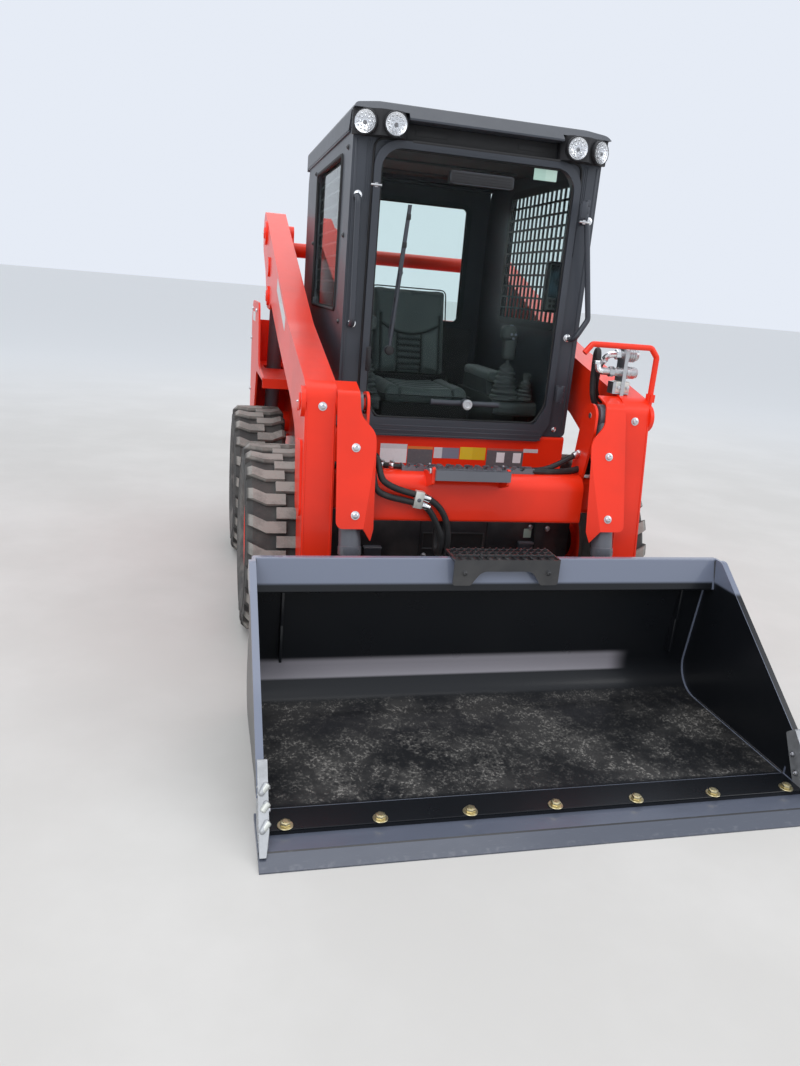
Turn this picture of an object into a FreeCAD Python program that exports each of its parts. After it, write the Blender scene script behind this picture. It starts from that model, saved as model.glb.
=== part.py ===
import FreeCAD, Part
import math
import os

V = FreeCAD.Vector
os.makedirs("parts", exist_ok=True)

# Millimetres. X across (left-hand side of the driver is +X), Y front (-) to rear (+), Z up.
# Y = 0 is half of the overall length, Z = 0 is the ground.

# Overall sizes
FRONT_REACH = 1614.0
WHEELBASE = 1060.0
REAR_OVERHANG = 776.0
OVERALL_LENGTH = FRONT_REACH + WHEELBASE + REAR_OVERHANG
FRONT_Y = -OVERALL_LENGTH / 2
REAR_Y = OVERALL_LENGTH / 2
FRONT_AXLE_Y = FRONT_Y + FRONT_REACH
REAR_AXLE_Y = FRONT_AXLE_Y + WHEELBASE
CAB_HEIGHT = 2084.0
BUCKET_WIDTH = 1728.0

# Wheels
TYRE_RADIUS = 392.0
TYRE_WIDTH = 264.0
TYRE_OUTER_X = 845.0
LUG_DEPTH = 24.0
LUG_LENGTH = 44.0
LUG_SWEEP = 34.0
LUGS_PER_SIDE = 22
RIM_RADIUS = 210.0
RIM_WIDTH = 214.0
RIM_WALL = 8.0
FLANGE = 12.0
HUB_X = 660.0
STUB_RADIUS = 35.0
WHEEL_NUTS = 8
NUT_CIRCLE = 205.0

# Clearances
SEAT = 0.3
RUN = 5.0

# Planes across the machine, each side
TUB_X = 505.0
LINK_GAP = 15.0
LINK_PLATE = 28.0
ARM_GAP = 7.0
ARM_WIDTH = 110.0
ARM_WALL = 8.0
TOWER_GAP = 42.0
TOWER_PLATE = 10.0
LINK_IN = TUB_X + LINK_GAP
LINK_OUT = LINK_IN + LINK_PLATE
ARM_IN = LINK_OUT + ARM_GAP
ARM_OUT = ARM_IN + ARM_WIDTH
ARM_MID = (ARM_IN + ARM_OUT) / 2
TOWER_IN = ARM_OUT + TOWER_GAP
TOWER_OUT = TOWER_IN + TOWER_PLATE
TILT_X = ARM_IN - 60
CAB_X = TUB_X - 13

# Pivots, as (y, z)
HINGE_PIN = (FRONT_AXLE_Y - 579, 200.0)
TILT_TOP = (FRONT_AXLE_Y - 474, 1036.0)
TILT_FOOT = (FRONT_AXLE_Y - 670, 343.0)
BOOM_PIN = (REAR_AXLE_Y + 440, 1680.0)
REAR_LINK_FOOT = (REAR_AXLE_Y + 240, 1100.0)
CONTROL_FOOT = (FRONT_AXLE_Y + 232, 901.0)
CONTROL_HEAD = (REAR_AXLE_Y + 176, 1353.0)
LIFT_FOOT = (REAR_AXLE_Y + 440, 640.0)
LIFT_HEAD = (REAR_AXLE_Y + 190, 1500.0)
PIN_RADIUS = 22.0
TILT_BARREL = 40.0
LIFT_BARREL = 40.0

# Cab
CAB_FRONT_Y = FRONT_AXLE_Y - 151
CAB_REAR_Y = REAR_AXLE_Y + 61
CAB_POST = 60.0
SILL_Z = 893.0
CAB_FLOOR_Z = 560.0
WALL = 12.0
GLASS = 5.0


def outline(rows, place):
    """Closed face from rows of (a, b, corner radius)."""
    edges = []
    last = None
    first = None
    count = len(rows)
    for i in range(count):
        a, b, radius = rows[i]
        p = place(a, b)
        before = place(*rows[i - 1][:2])
        after = place(*rows[(i + 1) % count][:2])
        if radius > 0:
            u = (before - p).normalize()
            w = (after - p).normalize()
            half = u.getAngle(w) / 2
            reach = radius / math.tan(half)
            middle = (u + w).normalize()
            start = p + u * reach
            end = p + w * reach
            centre = p + middle * (radius / math.sin(half))
            if last is not None and (start - last).Length > 1e-6:
                edges.append(Part.makeLine(last, start))
            edges.append(Part.Arc(start, centre - middle * radius, end).toShape())
        else:
            start = p
            end = p
            if last is not None and (start - last).Length > 1e-6:
                edges.append(Part.makeLine(last, start))
        if first is None:
            first = start
        last = end
    if (first - last).Length > 1e-6:
        edges.append(Part.makeLine(last, first))
    return Part.Face(Part.Wire(edges))


def slab_x(rows, x0, x1):
    """Plate across the machine from rows of (y, z, radius)."""
    return outline(rows, lambda a, b: V(x0, a, b)).extrude(V(x1 - x0, 0, 0))


def slab_y(rows, y0, y1):
    """Plate along the machine from rows of (x, z, radius)."""
    return outline(rows, lambda a, b: V(a, y0, b)).extrude(V(0, y1 - y0, 0))


def slab_z(rows, z0, z1):
    """Level plate from rows of (x, y, radius)."""
    return outline(rows, lambda a, b: V(a, b, z0)).extrude(V(0, 0, z1 - z0))


def box(x0, x1, y0, y1, z0, z1):
    return Part.makeBox(x1 - x0, y1 - y0, z1 - z0, V(x0, y0, z0))


def round_x(centre, radius, x0, x1):
    """Round bar across the machine at centre (y, z)."""
    return Part.makeCylinder(radius, x1 - x0, V(x0, centre[0], centre[1]), V(1, 0, 0))


def bar(start, end, radius):
    way = end - start
    return Part.makeCylinder(radius, way.Length, start, way)


def rect(a0, a1, b0, b1, radius=0.0):
    return [(a0, b0, radius), (a1, b0, radius), (a1, b1, radius), (a0, b1, radius)]


def joined(shapes):
    shapes = list(shapes)
    if len(shapes) == 1:
        return shapes[0]
    return shapes[0].fuse(shapes[1:]).removeSplitter()


def cut(shape, tools):
    return shape.cut(list(tools))


def mirrored(shape):
    return shape.mirror(V(0, 0, 0), V(1, 0, 0))


def both(shape):
    """The shape and its twin on the other side, as separate solids."""
    return Part.makeCompound([shape, mirrored(shape)])


def pipe(points, radius, bend):
    """Round tube along points, its corners bent to a radius."""
    edges = []
    last = points[0]
    for i in range(1, len(points) - 1):
        p = points[i]
        u = (points[i - 1] - p).normalize()
        w = (points[i + 1] - p).normalize()
        half = u.getAngle(w) / 2
        reach = bend / math.tan(half)
        middle = (u + w).normalize()
        start = p + u * reach
        end = p + w * reach
        centre = p + middle * (bend / math.sin(half))
        edges.append(Part.makeLine(last, start))
        edges.append(Part.Arc(start, centre - middle * bend, end).toShape())
        last = end
    edges.append(Part.makeLine(last, points[-1]))
    path = Part.Wire(edges)
    ring = Part.Wire(Part.makeCircle(radius, points[0], points[1] - points[0]))
    return path.makePipeShell([ring], True, False)


def export(name, shape):
    shape.exportStep("parts/" + name + ".step")


# Wheels
AXLE_Y = {"front": FRONT_AXLE_Y, "rear": REAR_AXLE_Y}
WHEEL_X = TYRE_OUTER_X - TYRE_WIDTH / 2


def spun(rows):
    """Ring about the X axis from rows of (x, radius)."""
    points = [V(x, 0, r) for x, r in rows]
    face = Part.Face(Part.makePolygon(points + [points[0]]))
    return face.revolve(V(0, 0, 0), V(1, 0, 0), 360)


def make_tyre():
    half = TYRE_WIDTH / 2
    tread = TYRE_RADIUS - LUG_DEPTH
    seat_x = RIM_WIDTH / 2 - RIM_WALL - SEAT
    # one side of the section, from the bead to the tread: x, radius
    side = [
        (seat_x, RIM_RADIUS + SEAT),
        (seat_x, RIM_RADIUS + FLANGE + SEAT),
        (RIM_WIDTH / 2, RIM_RADIUS + FLANGE + SEAT),
        (half - 12, RIM_RADIUS + 34),
        (half, RIM_RADIUS + 88),
        (half - 6, tread - 22),
        (half - 26, tread),
    ]
    carcass = spun([(-x, r) for x, r in side] + side[::-1])
    # a lug's outline seen from above: x, y along the tread, corner radius
    end = half - 4
    middle = LUG_SWEEP / 2
    lug_rows = [
        (-18, -LUG_LENGTH / 2 - middle, 0),
        (56, -LUG_LENGTH / 2 - middle, 0),
        (end, -LUG_LENGTH / 2 + middle, 0),
        (end, LUG_LENGTH / 2 + middle, 0),
        (56, LUG_LENGTH / 2 - middle, 0),
        (-18, LUG_LENGTH / 2 - middle, 0),
    ]
    lug = slab_z(lug_rows, tread - 26, TYRE_RADIUS + 6)
    # the lugs end at the tyre's radius, lower at the shoulders
    limit = spun([
        (-half - 1, tread - 60),
        (half + 1, tread - 60),
        (half + 1, TYRE_RADIUS - 26),
        (half - 26, TYRE_RADIUS),
        (-half - 1, TYRE_RADIUS),
    ])
    lug = lug.common(limit)
    other = lug.mirror(V(0, 0, 0), V(1, 0, 0))
    step = 360.0 / LUGS_PER_SIDE
    lugs = []
    for i in range(LUGS_PER_SIDE):
        for shape, turn in ((lug, i * step), (other, (i + 0.5) * step)):
            piece = shape.copy()
            piece.rotate(V(0, 0, 0), V(1, 0, 0), turn)
            lugs.append(piece)
    return carcass.fuse(lugs)


def make_rim():
    """Rim about the origin, outer side towards +X."""
    half = RIM_WIDTH / 2
    disc = HUB_X - WHEEL_X
    rows = [
        (-half, RIM_RADIUS - 12),
        (-half, RIM_RADIUS + FLANGE),
        (-half + 8, RIM_RADIUS + FLANGE),
        (-half + 8, RIM_RADIUS),
        (half - 8, RIM_RADIUS),
        (half - 8, RIM_RADIUS + FLANGE),
        (half, RIM_RADIUS + FLANGE),
        (half, RIM_RADIUS - 12),
        (disc + 34, RIM_RADIUS - 30),
        (disc + 12, 148),
        (disc + 12, 62),
        (disc + 44, 56),
        (disc + 44, 0),
        (disc + 8, 0),
        (disc + 8, STUB_RADIUS + SEAT),
        (disc - 22, STUB_RADIUS + SEAT),
        (disc - 22, 74),
        (disc, 74),
        (disc, 150),
        (disc + 22, RIM_RADIUS - 18),
        (disc + 12, RIM_RADIUS - 12),
    ]
    shape = spun(rows)
    nuts = []
    for i in range(WHEEL_NUTS):
        turn = 2 * math.pi * i / WHEEL_NUTS
        y = NUT_CIRCLE / 2 * math.sin(turn)
        z = NUT_CIRCLE / 2 * math.cos(turn)
        nuts.append(round_x((y, z), 13, disc + 4, disc + 30))
    return shape.fuse(nuts)


tyre = make_tyre()
rim = make_rim()
for end, y in AXLE_Y.items():
    for side, sign in (("left", 1), ("right", -1)):
        for name, shape in (("tyre", tyre), ("rim", rim)):
            piece = shape.copy() if sign > 0 else mirrored(shape)
            piece.translate(V(sign * WHEEL_X, y, TYRE_RADIUS))
            export("%s_%s_%s" % (name, end, side), piece)

# Lower body
BELLY_Z = 205.0
BELLY_T = 12.0
CASE_IN = 400.0
CASE_TOP = CAB_FLOOR_Z - SEAT
TUB_FRONT = FRONT_AXLE_Y - 199
TUB_REAR = REAR_AXLE_Y + 691
RING_T = 10.0
SIDES_END = TUB_REAR - RING_T
TUB_WALL = 12.0
DECK_Z = 1225.0
KICK_Y = REAR_AXLE_Y + 230
FIREWALL_Y = CAB_REAR_Y + 30
POST_Y = CAB_FRONT_Y + CAB_POST

case_rows = [
    (TUB_FRONT, BELLY_Z + 110, 30),
    (TUB_FRONT + 110, BELLY_Z, 30),
    (KICK_Y, BELLY_Z, 0),
    (SIDES_END, BELLY_Z + 120, 30),
    (SIDES_END, CASE_TOP, 0),
    (TUB_FRONT, CASE_TOP, 0),
]
case = slab_x(case_rows, CASE_IN, TUB_X)
side_rows = [
    (POST_Y, CASE_TOP - 1, 0),
    (SIDES_END, CASE_TOP - 1, 0),
    (SIDES_END, DECK_Z, 20),
    (FIREWALL_Y, DECK_Z, 20),
    (FIREWALL_Y, CASE_TOP + 150, 60),
    (POST_Y, CASE_TOP + 90, 0),
]
side = slab_x(side_rows, TUB_X - TUB_WALL, TUB_X)
side_pieces = [case, side]
for pin, radius in ((CONTROL_FOOT, 58), (REAR_LINK_FOOT, 60)):
    side_pieces.append(round_x(pin, radius, TUB_X - TUB_WALL, LINK_IN - RUN))
    side_pieces.append(round_x(pin, PIN_RADIUS, TUB_X - 1, LINK_OUT + 6))
control_seat = [
    (CONTROL_FOOT[0] - 150, CASE_TOP + 60, 0),
    (CONTROL_FOOT[0] + 190, CASE_TOP + 60, 0),
    (CONTROL_FOOT[0] + 66, CONTROL_FOOT[1] + 60, 50),
    (CONTROL_FOOT[0] - 66, CONTROL_FOOT[1] + 60, 50),
]
side_pieces.append(slab_x(control_seat, TUB_X - TUB_WALL, TUB_X))
export("main_frame", both(joined(side_pieces)))

# the pan under the engine and the feet, bent up at both ends
ENGINE_Y0, ENGINE_Y1 = REAR_AXLE_Y + 171, REAR_AXLE_Y + 551
ENGINE_Z0, ENGINE_Z1 = 306.0, 900.0
belly_rows = [
    (TUB_FRONT + 20, CASE_TOP + 140, 0),
    (TUB_FRONT + 20, BELLY_Z + 110, 30),
    (TUB_FRONT + 110, BELLY_Z, 30),
    (KICK_Y, BELLY_Z, 0),
    (SIDES_END, BELLY_Z + 120, 0),
    (SIDES_END, BELLY_Z + 120 + BELLY_T, 0),
    (KICK_Y - 2, BELLY_Z + BELLY_T, 0),
    (TUB_FRONT + 114, BELLY_Z + BELLY_T, 20),
    (TUB_FRONT + 20 + BELLY_T, BELLY_Z + 114, 20),
    (TUB_FRONT + 20 + BELLY_T, CASE_TOP + 140, 0),
]
belly = slab_x(belly_rows, -CASE_IN, CASE_IN)
engine_feet = [
    box(-CASE_IN, CASE_IN, y, y + 60, ENGINE_Z0 - 40, ENGINE_Z0)
    for y in (ENGINE_Y0 + 20, ENGINE_Y1 - 80)
]
foot_webs = [
    box(x, x + 10, y + 5, y + 55, BELLY_Z + BELLY_T - 2, ENGINE_Z0 - 30)
    for x in (-150, 140)
    for y in (ENGINE_Y0 + 20, ENGINE_Y1 - 80)
]
export("belly_pan", joined([belly] + engine_feet + foot_webs))

# wall behind the cab with the hood's hinge lugs, and the plate under the cab floor
HOOD_HINGE = (FIREWALL_Y, DECK_Z + 8)
HINGE_R = 9.0
HINGE_PIN_R = 5.0
HOOD_HINGE_X = 300.0
KNUCKLE = 40.0
LUG_T = 9.0
firewall = box(-TUB_X + TUB_WALL, TUB_X - TUB_WALL, FIREWALL_Y, FIREWALL_Y + 8, CASE_TOP, DECK_Z - 60)
wall_pieces = [firewall]
for x in (HOOD_HINGE_X, -HOOD_HINGE_X):
    wall_pieces.append(round_x(HOOD_HINGE, HINGE_PIN_R, x - KNUCKLE / 2 - 2, x + KNUCKLE / 2 + 2))
    for x0 in (x - KNUCKLE / 2 - 1 - LUG_T, x + KNUCKLE / 2 + 1):
        wall_pieces.append(box(x0, x0 + LUG_T, FIREWALL_Y - 4, FIREWALL_Y + 5, DECK_Z - 100, HOOD_HINGE[1]))
        wall_pieces.append(round_x(HOOD_HINGE, HINGE_R, x0, x0 + LUG_T))
shelf_plate = box(-CASE_IN, CASE_IN, POST_Y, CAB_REAR_Y, CASE_TOP - 20, CASE_TOP)
export("deck_plates", Part.makeCompound([joined(wall_pieces), shelf_plate]))

# ring round the rear door with the bumper and the door's hinge ears
DOOR_HALF = 478.0
DOOR_Z0, DOOR_Z1 = 445.0, DECK_Z - 12
DOOR_HINGE = (-DOOR_HALF - 12, TUB_REAR + 34)
DOOR_HINGE_Z = (DOOR_Z0 + 115, DOOR_Z1 - 115)
ring = cut(
    slab_y(rect(-TUB_X, TUB_X, CASE_TOP - 150, DECK_Z - 5, 10), SIDES_END, TUB_REAR),
    [slab_y(rect(-CASE_IN, CASE_IN, CASE_TOP - 40, DECK_Z - 80, 30), SIDES_END - 10, TUB_REAR + 10)],
)
BUMPER_Z0, BUMPER_Z1 = BELLY_Z + 130, BELLY_Z + 222
TIE_HOLE = 20.0
bumper_rows = [
    (SIDES_END, BUMPER_Z0, 0),
    (REAR_Y - 30, BUMPER_Z0, 25),
    (REAR_Y, BUMPER_Z0 + 35, 25),
    (REAR_Y, BUMPER_Z1, 20),
    (SIDES_END, BUMPER_Z1, 0),
]
tie_hole = Part.makeCylinder(TIE_HOLE, 200, V(0, REAR_Y - 40, BELLY_Z + 100), V(0, 0, 1))
bumper = cut(slab_x(bumper_rows, -TUB_X + 1, TUB_X - 1), [tie_hole])
ring_pieces = [ring, bumper]
for z in DOOR_HINGE_Z:
    at = V(DOOR_HINGE[0], DOOR_HINGE[1], z - KNUCKLE / 2 - 2)
    ring_pieces.append(Part.makeCylinder(HINGE_PIN_R, KNUCKLE + 4, at, V(0, 0, 1)))
    for z0 in (z - KNUCKLE / 2 - 1 - LUG_T, z + KNUCKLE / 2 + 1):
        ear_at = V(DOOR_HINGE[0], DOOR_HINGE[1], z0)
        ring_pieces.append(Part.makeCylinder(HINGE_R, LUG_T, ear_at, V(0, 0, 1)))
        ring_pieces.append(box(
            DOOR_HINGE[0] - HINGE_R, DOOR_HINGE[0] + HINGE_R, TUB_REAR - 1, DOOR_HINGE[1], z0, z0 + LUG_T))
export("rear_frame", joined(ring_pieces))

housings = []
for y in AXLE_Y.values():
    at = (y, TYRE_RADIUS)
    housings.append(joined([
        round_x(at, 105, TUB_X, TUB_X + 22),
        round_x(at, 78, TUB_X + 20, HUB_X - 22 - RUN),
        round_x(at, STUB_RADIUS, TUB_X + 20, HUB_X),
    ]))
export("axle_housings", Part.makeCompound(housings + [mirrored(h) for h in housings]))

engine = box(-260, 260, ENGINE_Y0, ENGINE_Y1, ENGINE_Z0, ENGINE_Z1)
COOLER_X = CASE_IN - SEAT
cooler = box(-COOLER_X, COOLER_X, SIDES_END - 80, SIDES_END - SEAT, CASE_TOP - 90, DECK_Z - 70)
export("engine_block", Part.makeCompound([engine, cooler]))

# Rear towers
SHELF_Z = 965.0
TOWER_TOP = 1315.0
SHELF_T = 10.0
SHELF_Y = REAR_AXLE_Y - 249
tower_rows = [
    (REAR_AXLE_Y + 396, CAB_FLOOR_Z, 20),
    (TUB_REAR - 30, CAB_FLOOR_Z, 60),
    (TUB_REAR, 900, 0),
    (TUB_REAR, TOWER_TOP - 100, 100),
    (TUB_REAR - 70, TOWER_TOP, 60),
    (REAR_AXLE_Y + 161, TOWER_TOP, 60),
    (REAR_AXLE_Y + 61, SHELF_Z + 30, 60),
    (SHELF_Y, SHELF_Z, 0),
    (SHELF_Y, SHELF_Z - 12, 0),
    (REAR_AXLE_Y + 201, SHELF_Z - 12, 60),
    (REAR_AXLE_Y + 296, 760, 60),
    (REAR_AXLE_Y + 341, 650, 40),
]
tower_plate = slab_x(tower_rows, TOWER_IN, TOWER_OUT)
shelf = cut(
    slab_z(rect(TUB_X, TOWER_OUT - 1, SHELF_Y - 10, TUB_REAR - 5, 12), SHELF_Z - SHELF_T - 2, SHELF_Z - 2),
    [slab_z(
        rect(ARM_MID - 54, ARM_MID + 54, LIFT_FOOT[0] - 184, LIFT_FOOT[0] - 17, 20),
        SHELF_Z - 20, SHELF_Z + 10)],
)
shelf_lip = box(TUB_X, TOWER_OUT - 1, SHELF_Y - 10, SHELF_Y, SHELF_Z - 50, SHELF_Z - 4)
tower_back = box(TUB_X, TOWER_IN + 1, SIDES_END, TUB_REAR, CAB_FLOOR_Z + 60, TOWER_TOP - 110)
tower_foot = box(TUB_X, TOWER_IN + 1, REAR_AXLE_Y + 401, TUB_REAR - 40, CAB_FLOOR_Z, CAB_FLOOR_Z + SHELF_T)
lift_pin = round_x(LIFT_FOOT, PIN_RADIUS, TUB_X, TOWER_IN + 1)
lift_boss = round_x(LIFT_FOOT, 52, TOWER_OUT - 1, TOWER_OUT + 12)
inner_boss = round_x(LIFT_FOOT, 60, TUB_X, LINK_OUT)
tower = joined([tower_plate, shelf, shelf_lip, tower_back, tower_foot, lift_pin, lift_boss, inner_boss])
export("rear_towers", both(tower))

# Cab panels
DOOR_X = 400.0
ROOF_Z = CAB_HEIGHT - 42
DOOR_TOP = ROOF_Z - 93
REAR_WALL_TOP = ROOF_Z - 110
front_rows = rect(-CAB_X, CAB_X, SILL_Z, ROOF_Z - 40, 20)
door_hole = [
    (-DOOR_X + 40, SILL_Z + 14, 20),
    (DOOR_X - 40, SILL_Z + 14, 20),
    (DOOR_X, SILL_Z + 90, 20),
    (DOOR_X, DOOR_TOP, 95),
    (-DOOR_X, DOOR_TOP, 95),
    (-DOOR_X, SILL_Z + 90, 20),
]
front_frame = cut(
    slab_y(front_rows, CAB_FRONT_Y, POST_Y),
    [slab_y(door_hole, CAB_FRONT_Y - 10, POST_Y + 10)],
)
front_rail = box(-CAB_X, CAB_X, CAB_FRONT_Y + 20, POST_Y, ROOF_Z - 50, ROOF_Z)
export("cab_frame", joined([front_frame, front_rail]))

# side window: y from and to, z from and to
WIN_Y0, WIN_Y1 = FRONT_AXLE_Y + 51, FRONT_AXLE_Y + 751
WIN_Z0, WIN_Z1 = SILL_Z + 447, ROOF_Z - 123
GLASS_LAP = 20.0
side_wall_rows = [
    (POST_Y, CAB_FLOOR_Z + 145, 0),
    (CAB_REAR_Y, CAB_FLOOR_Z + 145, 0),
    (CAB_REAR_Y, ROOF_Z - 120, 60),
    (CAB_REAR_Y - 60, ROOF_Z, 0),
    (POST_Y, ROOF_Z, 0),
]
side_wall = cut(
    slab_x(side_wall_rows, CAB_X - WALL, CAB_X),
    [slab_x(rect(WIN_Y0, WIN_Y1, WIN_Z0, WIN_Z1, 60), CAB_X - 30, CAB_X + 10)],
)
export("cab_sides", both(side_wall))

INNER_X = CAB_X - WALL
REAR_WIN_X = 360.0
REAR_WIN_Z0, REAR_WIN_Z1 = DECK_Z + 65, ROOF_Z - 158
rear_wall = cut(
    box(-INNER_X, INNER_X, CAB_REAR_Y - WALL, CAB_REAR_Y, CAB_FLOOR_Z, REAR_WALL_TOP),
    [slab_y(rect(-REAR_WIN_X, REAR_WIN_X, REAR_WIN_Z0, REAR_WIN_Z1, 50), CAB_REAR_Y - 30, CAB_REAR_Y + 10)],
)
head_rail = box(-INNER_X, INNER_X, CAB_REAR_Y - 90, CAB_REAR_Y - 50, ROOF_Z - 60, ROOF_Z)
export("cab_rear", Part.makeCompound([rear_wall, head_rail]))

FLOOR_X = INNER_X - SEAT
FLOOR_T = 12.0
floor_plate = box(-FLOOR_X, FLOOR_X, POST_Y, CAB_REAR_Y - WALL, CAB_FLOOR_Z, CAB_FLOOR_Z + FLOOR_T)
toe_board = box(-FLOOR_X, FLOOR_X, POST_Y, POST_Y + 8, CAB_FLOOR_Z + FLOOR_T - 1, SILL_Z - 2)
export("cab_floor", joined([floor_plate, toe_board]))

APRON_LOW = 742.0
apron_rows = [
    (CAB_FRONT_Y + 58, APRON_LOW, 0),
    (CAB_FRONT_Y - 4, APRON_LOW, 6),
    (CAB_FRONT_Y - 4, SILL_Z - 0.5, 14),
    (CAB_FRONT_Y + 58, SILL_Z - 0.5, 0),
    (CAB_FRONT_Y + 58, SILL_Z - 12, 0),
    (CAB_FRONT_Y + 8, SILL_Z - 12, 6),
    (CAB_FRONT_Y + 8, APRON_LOW + WALL, 6),
    (CAB_FRONT_Y + 58, APRON_LOW + WALL, 0),
]
apron = slab_x(apron_rows, -CAB_X, CAB_X)
apron_ends = [
    slab_x(rect(CAB_FRONT_Y + 2, CAB_FRONT_Y + 58, APRON_LOW + 3, SILL_Z - 3), x, x + 8)
    for x in (-CAB_X, CAB_X - 8)
]
export("front_apron", joined([apron] + apron_ends))

ROOF_X = CAB_X + 8
ROOF_FRONT = CAB_FRONT_Y - 62
VISOR_Z = ROOF_Z - 22
ROOF_REAR = CAB_REAR_Y + 20
roof_side = [
    (ROOF_FRONT, VISOR_Z, 3),
    (ROOF_FRONT, VISOR_Z + 8, 3),
    (CAB_FRONT_Y - 6, CAB_HEIGHT - 4, 20),
    (CAB_FRONT_Y + 160, CAB_HEIGHT, 400),
    (ROOF_REAR - 160, CAB_HEIGHT, 300),
    (ROOF_REAR, CAB_HEIGHT - 24, 18),
    (ROOF_REAR, ROOF_Z - 70, 8),
    (ROOF_REAR - 30, ROOF_Z - 70, 8),
    (ROOF_REAR - 60, ROOF_Z, 8),
    (CAB_FRONT_Y - SEAT, ROOF_Z, 0),
    (CAB_FRONT_Y - SEAT, VISOR_Z, 0),
]
roof_cross = [
    (-ROOF_X, ROOF_Z - 90, 0),
    (ROOF_X, ROOF_Z - 90, 0),
    (ROOF_X, CAB_HEIGHT - 20, 26),
    (ROOF_X - 130, CAB_HEIGHT, 200),
    (-ROOF_X + 130, CAB_HEIGHT, 200),
    (-ROOF_X, CAB_HEIGHT - 20, 26),
]
roof = slab_x(roof_side, -ROOF_X, ROOF_X).common(slab_y(roof_cross, ROOF_FRONT - 5, ROOF_REAR + 5))
roof = cut(roof, [box(-CAB_X - SEAT, CAB_X + SEAT, CAB_REAR_Y - 65, CAB_REAR_Y + SEAT, ROOF_Z - 100, ROOF_Z)])
skirt_rows = [
    (CAB_FRONT_Y + 20, ROOF_Z + 2, 0),
    (CAB_FRONT_Y + 60, ROOF_Z - 58, 20),
    (CAB_REAR_Y, ROOF_Z - 58, 10),
    (CAB_REAR_Y + 10, ROOF_Z + 2, 0),
]
skirt = slab_x(skirt_rows, CAB_X + SEAT, ROOF_X)

# lamp pods at the visor's ends, seen from above: the outer lamp's face is turned outwards
POD_IN, POD_BEND = 300.0, 404.0
POD_Z0, POD_Z1 = DOOR_TOP + 11, ROOF_Z + 4
POD_FACE = CAB_FRONT_Y - 60
POD_SIDE = CAB_FRONT_Y - 14


pod_rows = [
    (POD_IN, CAB_FRONT_Y - SEAT, 0),
    (POD_IN, POD_FACE + 36, 20),
    (POD_IN + 30, POD_FACE, 20),
    (POD_BEND, POD_FACE, 20),
    (ROOF_X, POD_SIDE, 0),
    (ROOF_X, CAB_FRONT_Y - SEAT, 0),
]
room_y = (ROOF_FRONT - 5, CAB_FRONT_Y)
pod_room = box(POD_IN - SEAT, ROOF_X + 1, *room_y, VISOR_Z - 20, POD_Z1 + SEAT)
roof = cut(joined([roof, skirt, mirrored(skirt)]), [pod_room, mirrored(pod_room)])
export("cab_roof", roof)

# Front door, glass and screens
DOOR_FACE = CAB_FRONT_Y - 18


def door_ring(inset, low):
    x = DOOR_X + 10 - inset
    high = DOOR_TOP + 10 - inset
    return [
        (-x + 40, low, 20),
        (x - 40, low, 20),
        (x, low + 78, 20),
        (x, high, 95 - inset / 2),
        (-x, high, 95 - inset / 2),
        (-x, low + 78, 20),
    ]


DOOR_LOW = SILL_Z - 20
DOOR_GLASS_LOW = SILL_Z + 52
door_frame = cut(
    slab_y(door_ring(0, DOOR_LOW), DOOR_FACE, CAB_FRONT_Y - 2 * SEAT - GLASS),
    [slab_y(door_ring(26, DOOR_GLASS_LOW), DOOR_FACE - 5, CAB_FRONT_Y)],
)
GLASS_FACE = CAB_FRONT_Y - SEAT - GLASS
BAR_Z = SILL_Z + 127
BAR_Y = GLASS_FACE - 34
BAR_X0, BAR_X1 = -124.0, 165.0
low_bar = [
    bar(V(BAR_X0, BAR_Y, BAR_Z), V(BAR_X1, BAR_Y, BAR_Z), 11),
    bar(V(BAR_X0 + 16, GLASS_FACE - SEAT, BAR_Z), V(BAR_X0 + 16, BAR_Y - 6, BAR_Z), 9),
    bar(V(BAR_X1 - 16, GLASS_FACE - SEAT, BAR_Z), V(BAR_X1 - 16, BAR_Y - 6, BAR_Z), 9),
    bar(V(20, BAR_Y, BAR_Z), V(20, BAR_Y - 36, BAR_Z), 20),
]
GRIP_Z = DOOR_TOP - 71
top_grip = cut(
    slab_y(rect(-126, 126, GRIP_Z - 45, GRIP_Z, 16), BAR_Y, GLASS_FACE - SEAT),
    [slab_y(rect(-96, 96, GRIP_Z - 55, GRIP_Z - 16, 10), BAR_Y + 12, GLASS_FACE)],
)
# wiper: a knob on the glass, its arm and blade on one leaning line
WIPER_X, WIPER_Z = -306.0, SILL_Z + 316
WIPER_LEAN = 42.0 / 535.0
ARM_RUN = 291.0
BLADE_HALF = 244.0


def wiper_at(run, y):
    """Point on the wiper's line, a run above its knob."""
    return V(WIPER_X + run * WIPER_LEAN, y, WIPER_Z + run)


blade_low = wiper_at(ARM_RUN - BLADE_HALF, 0)
blade_high = wiper_at(ARM_RUN + BLADE_HALF, 0)
blade_rows = [
    (blade_low.x - 9, blade_low.z, 0),
    (blade_low.x + 9, blade_low.z, 0),
    (blade_high.x + 6, blade_high.z, 0),
    (blade_high.x - 6, blade_high.z, 0),
]
wiper = [
    bar(wiper_at(0, GLASS_FACE - 30), wiper_at(0, GLASS_FACE - SEAT), 17),
    bar(wiper_at(0, GLASS_FACE - 22), wiper_at(ARM_RUN, GLASS_FACE - 22), 6),
    bar(wiper_at(ARM_RUN, GLASS_FACE - 26), wiper_at(ARM_RUN, GLASS_FACE - 8), 8),
    slab_y(blade_rows, GLASS_FACE - 15, GLASS_FACE - SEAT),
]
door_solids = [door_frame, joined(wiper), joined(low_bar), top_grip]
export("front_door", Part.makeCompound(door_solids))

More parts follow.
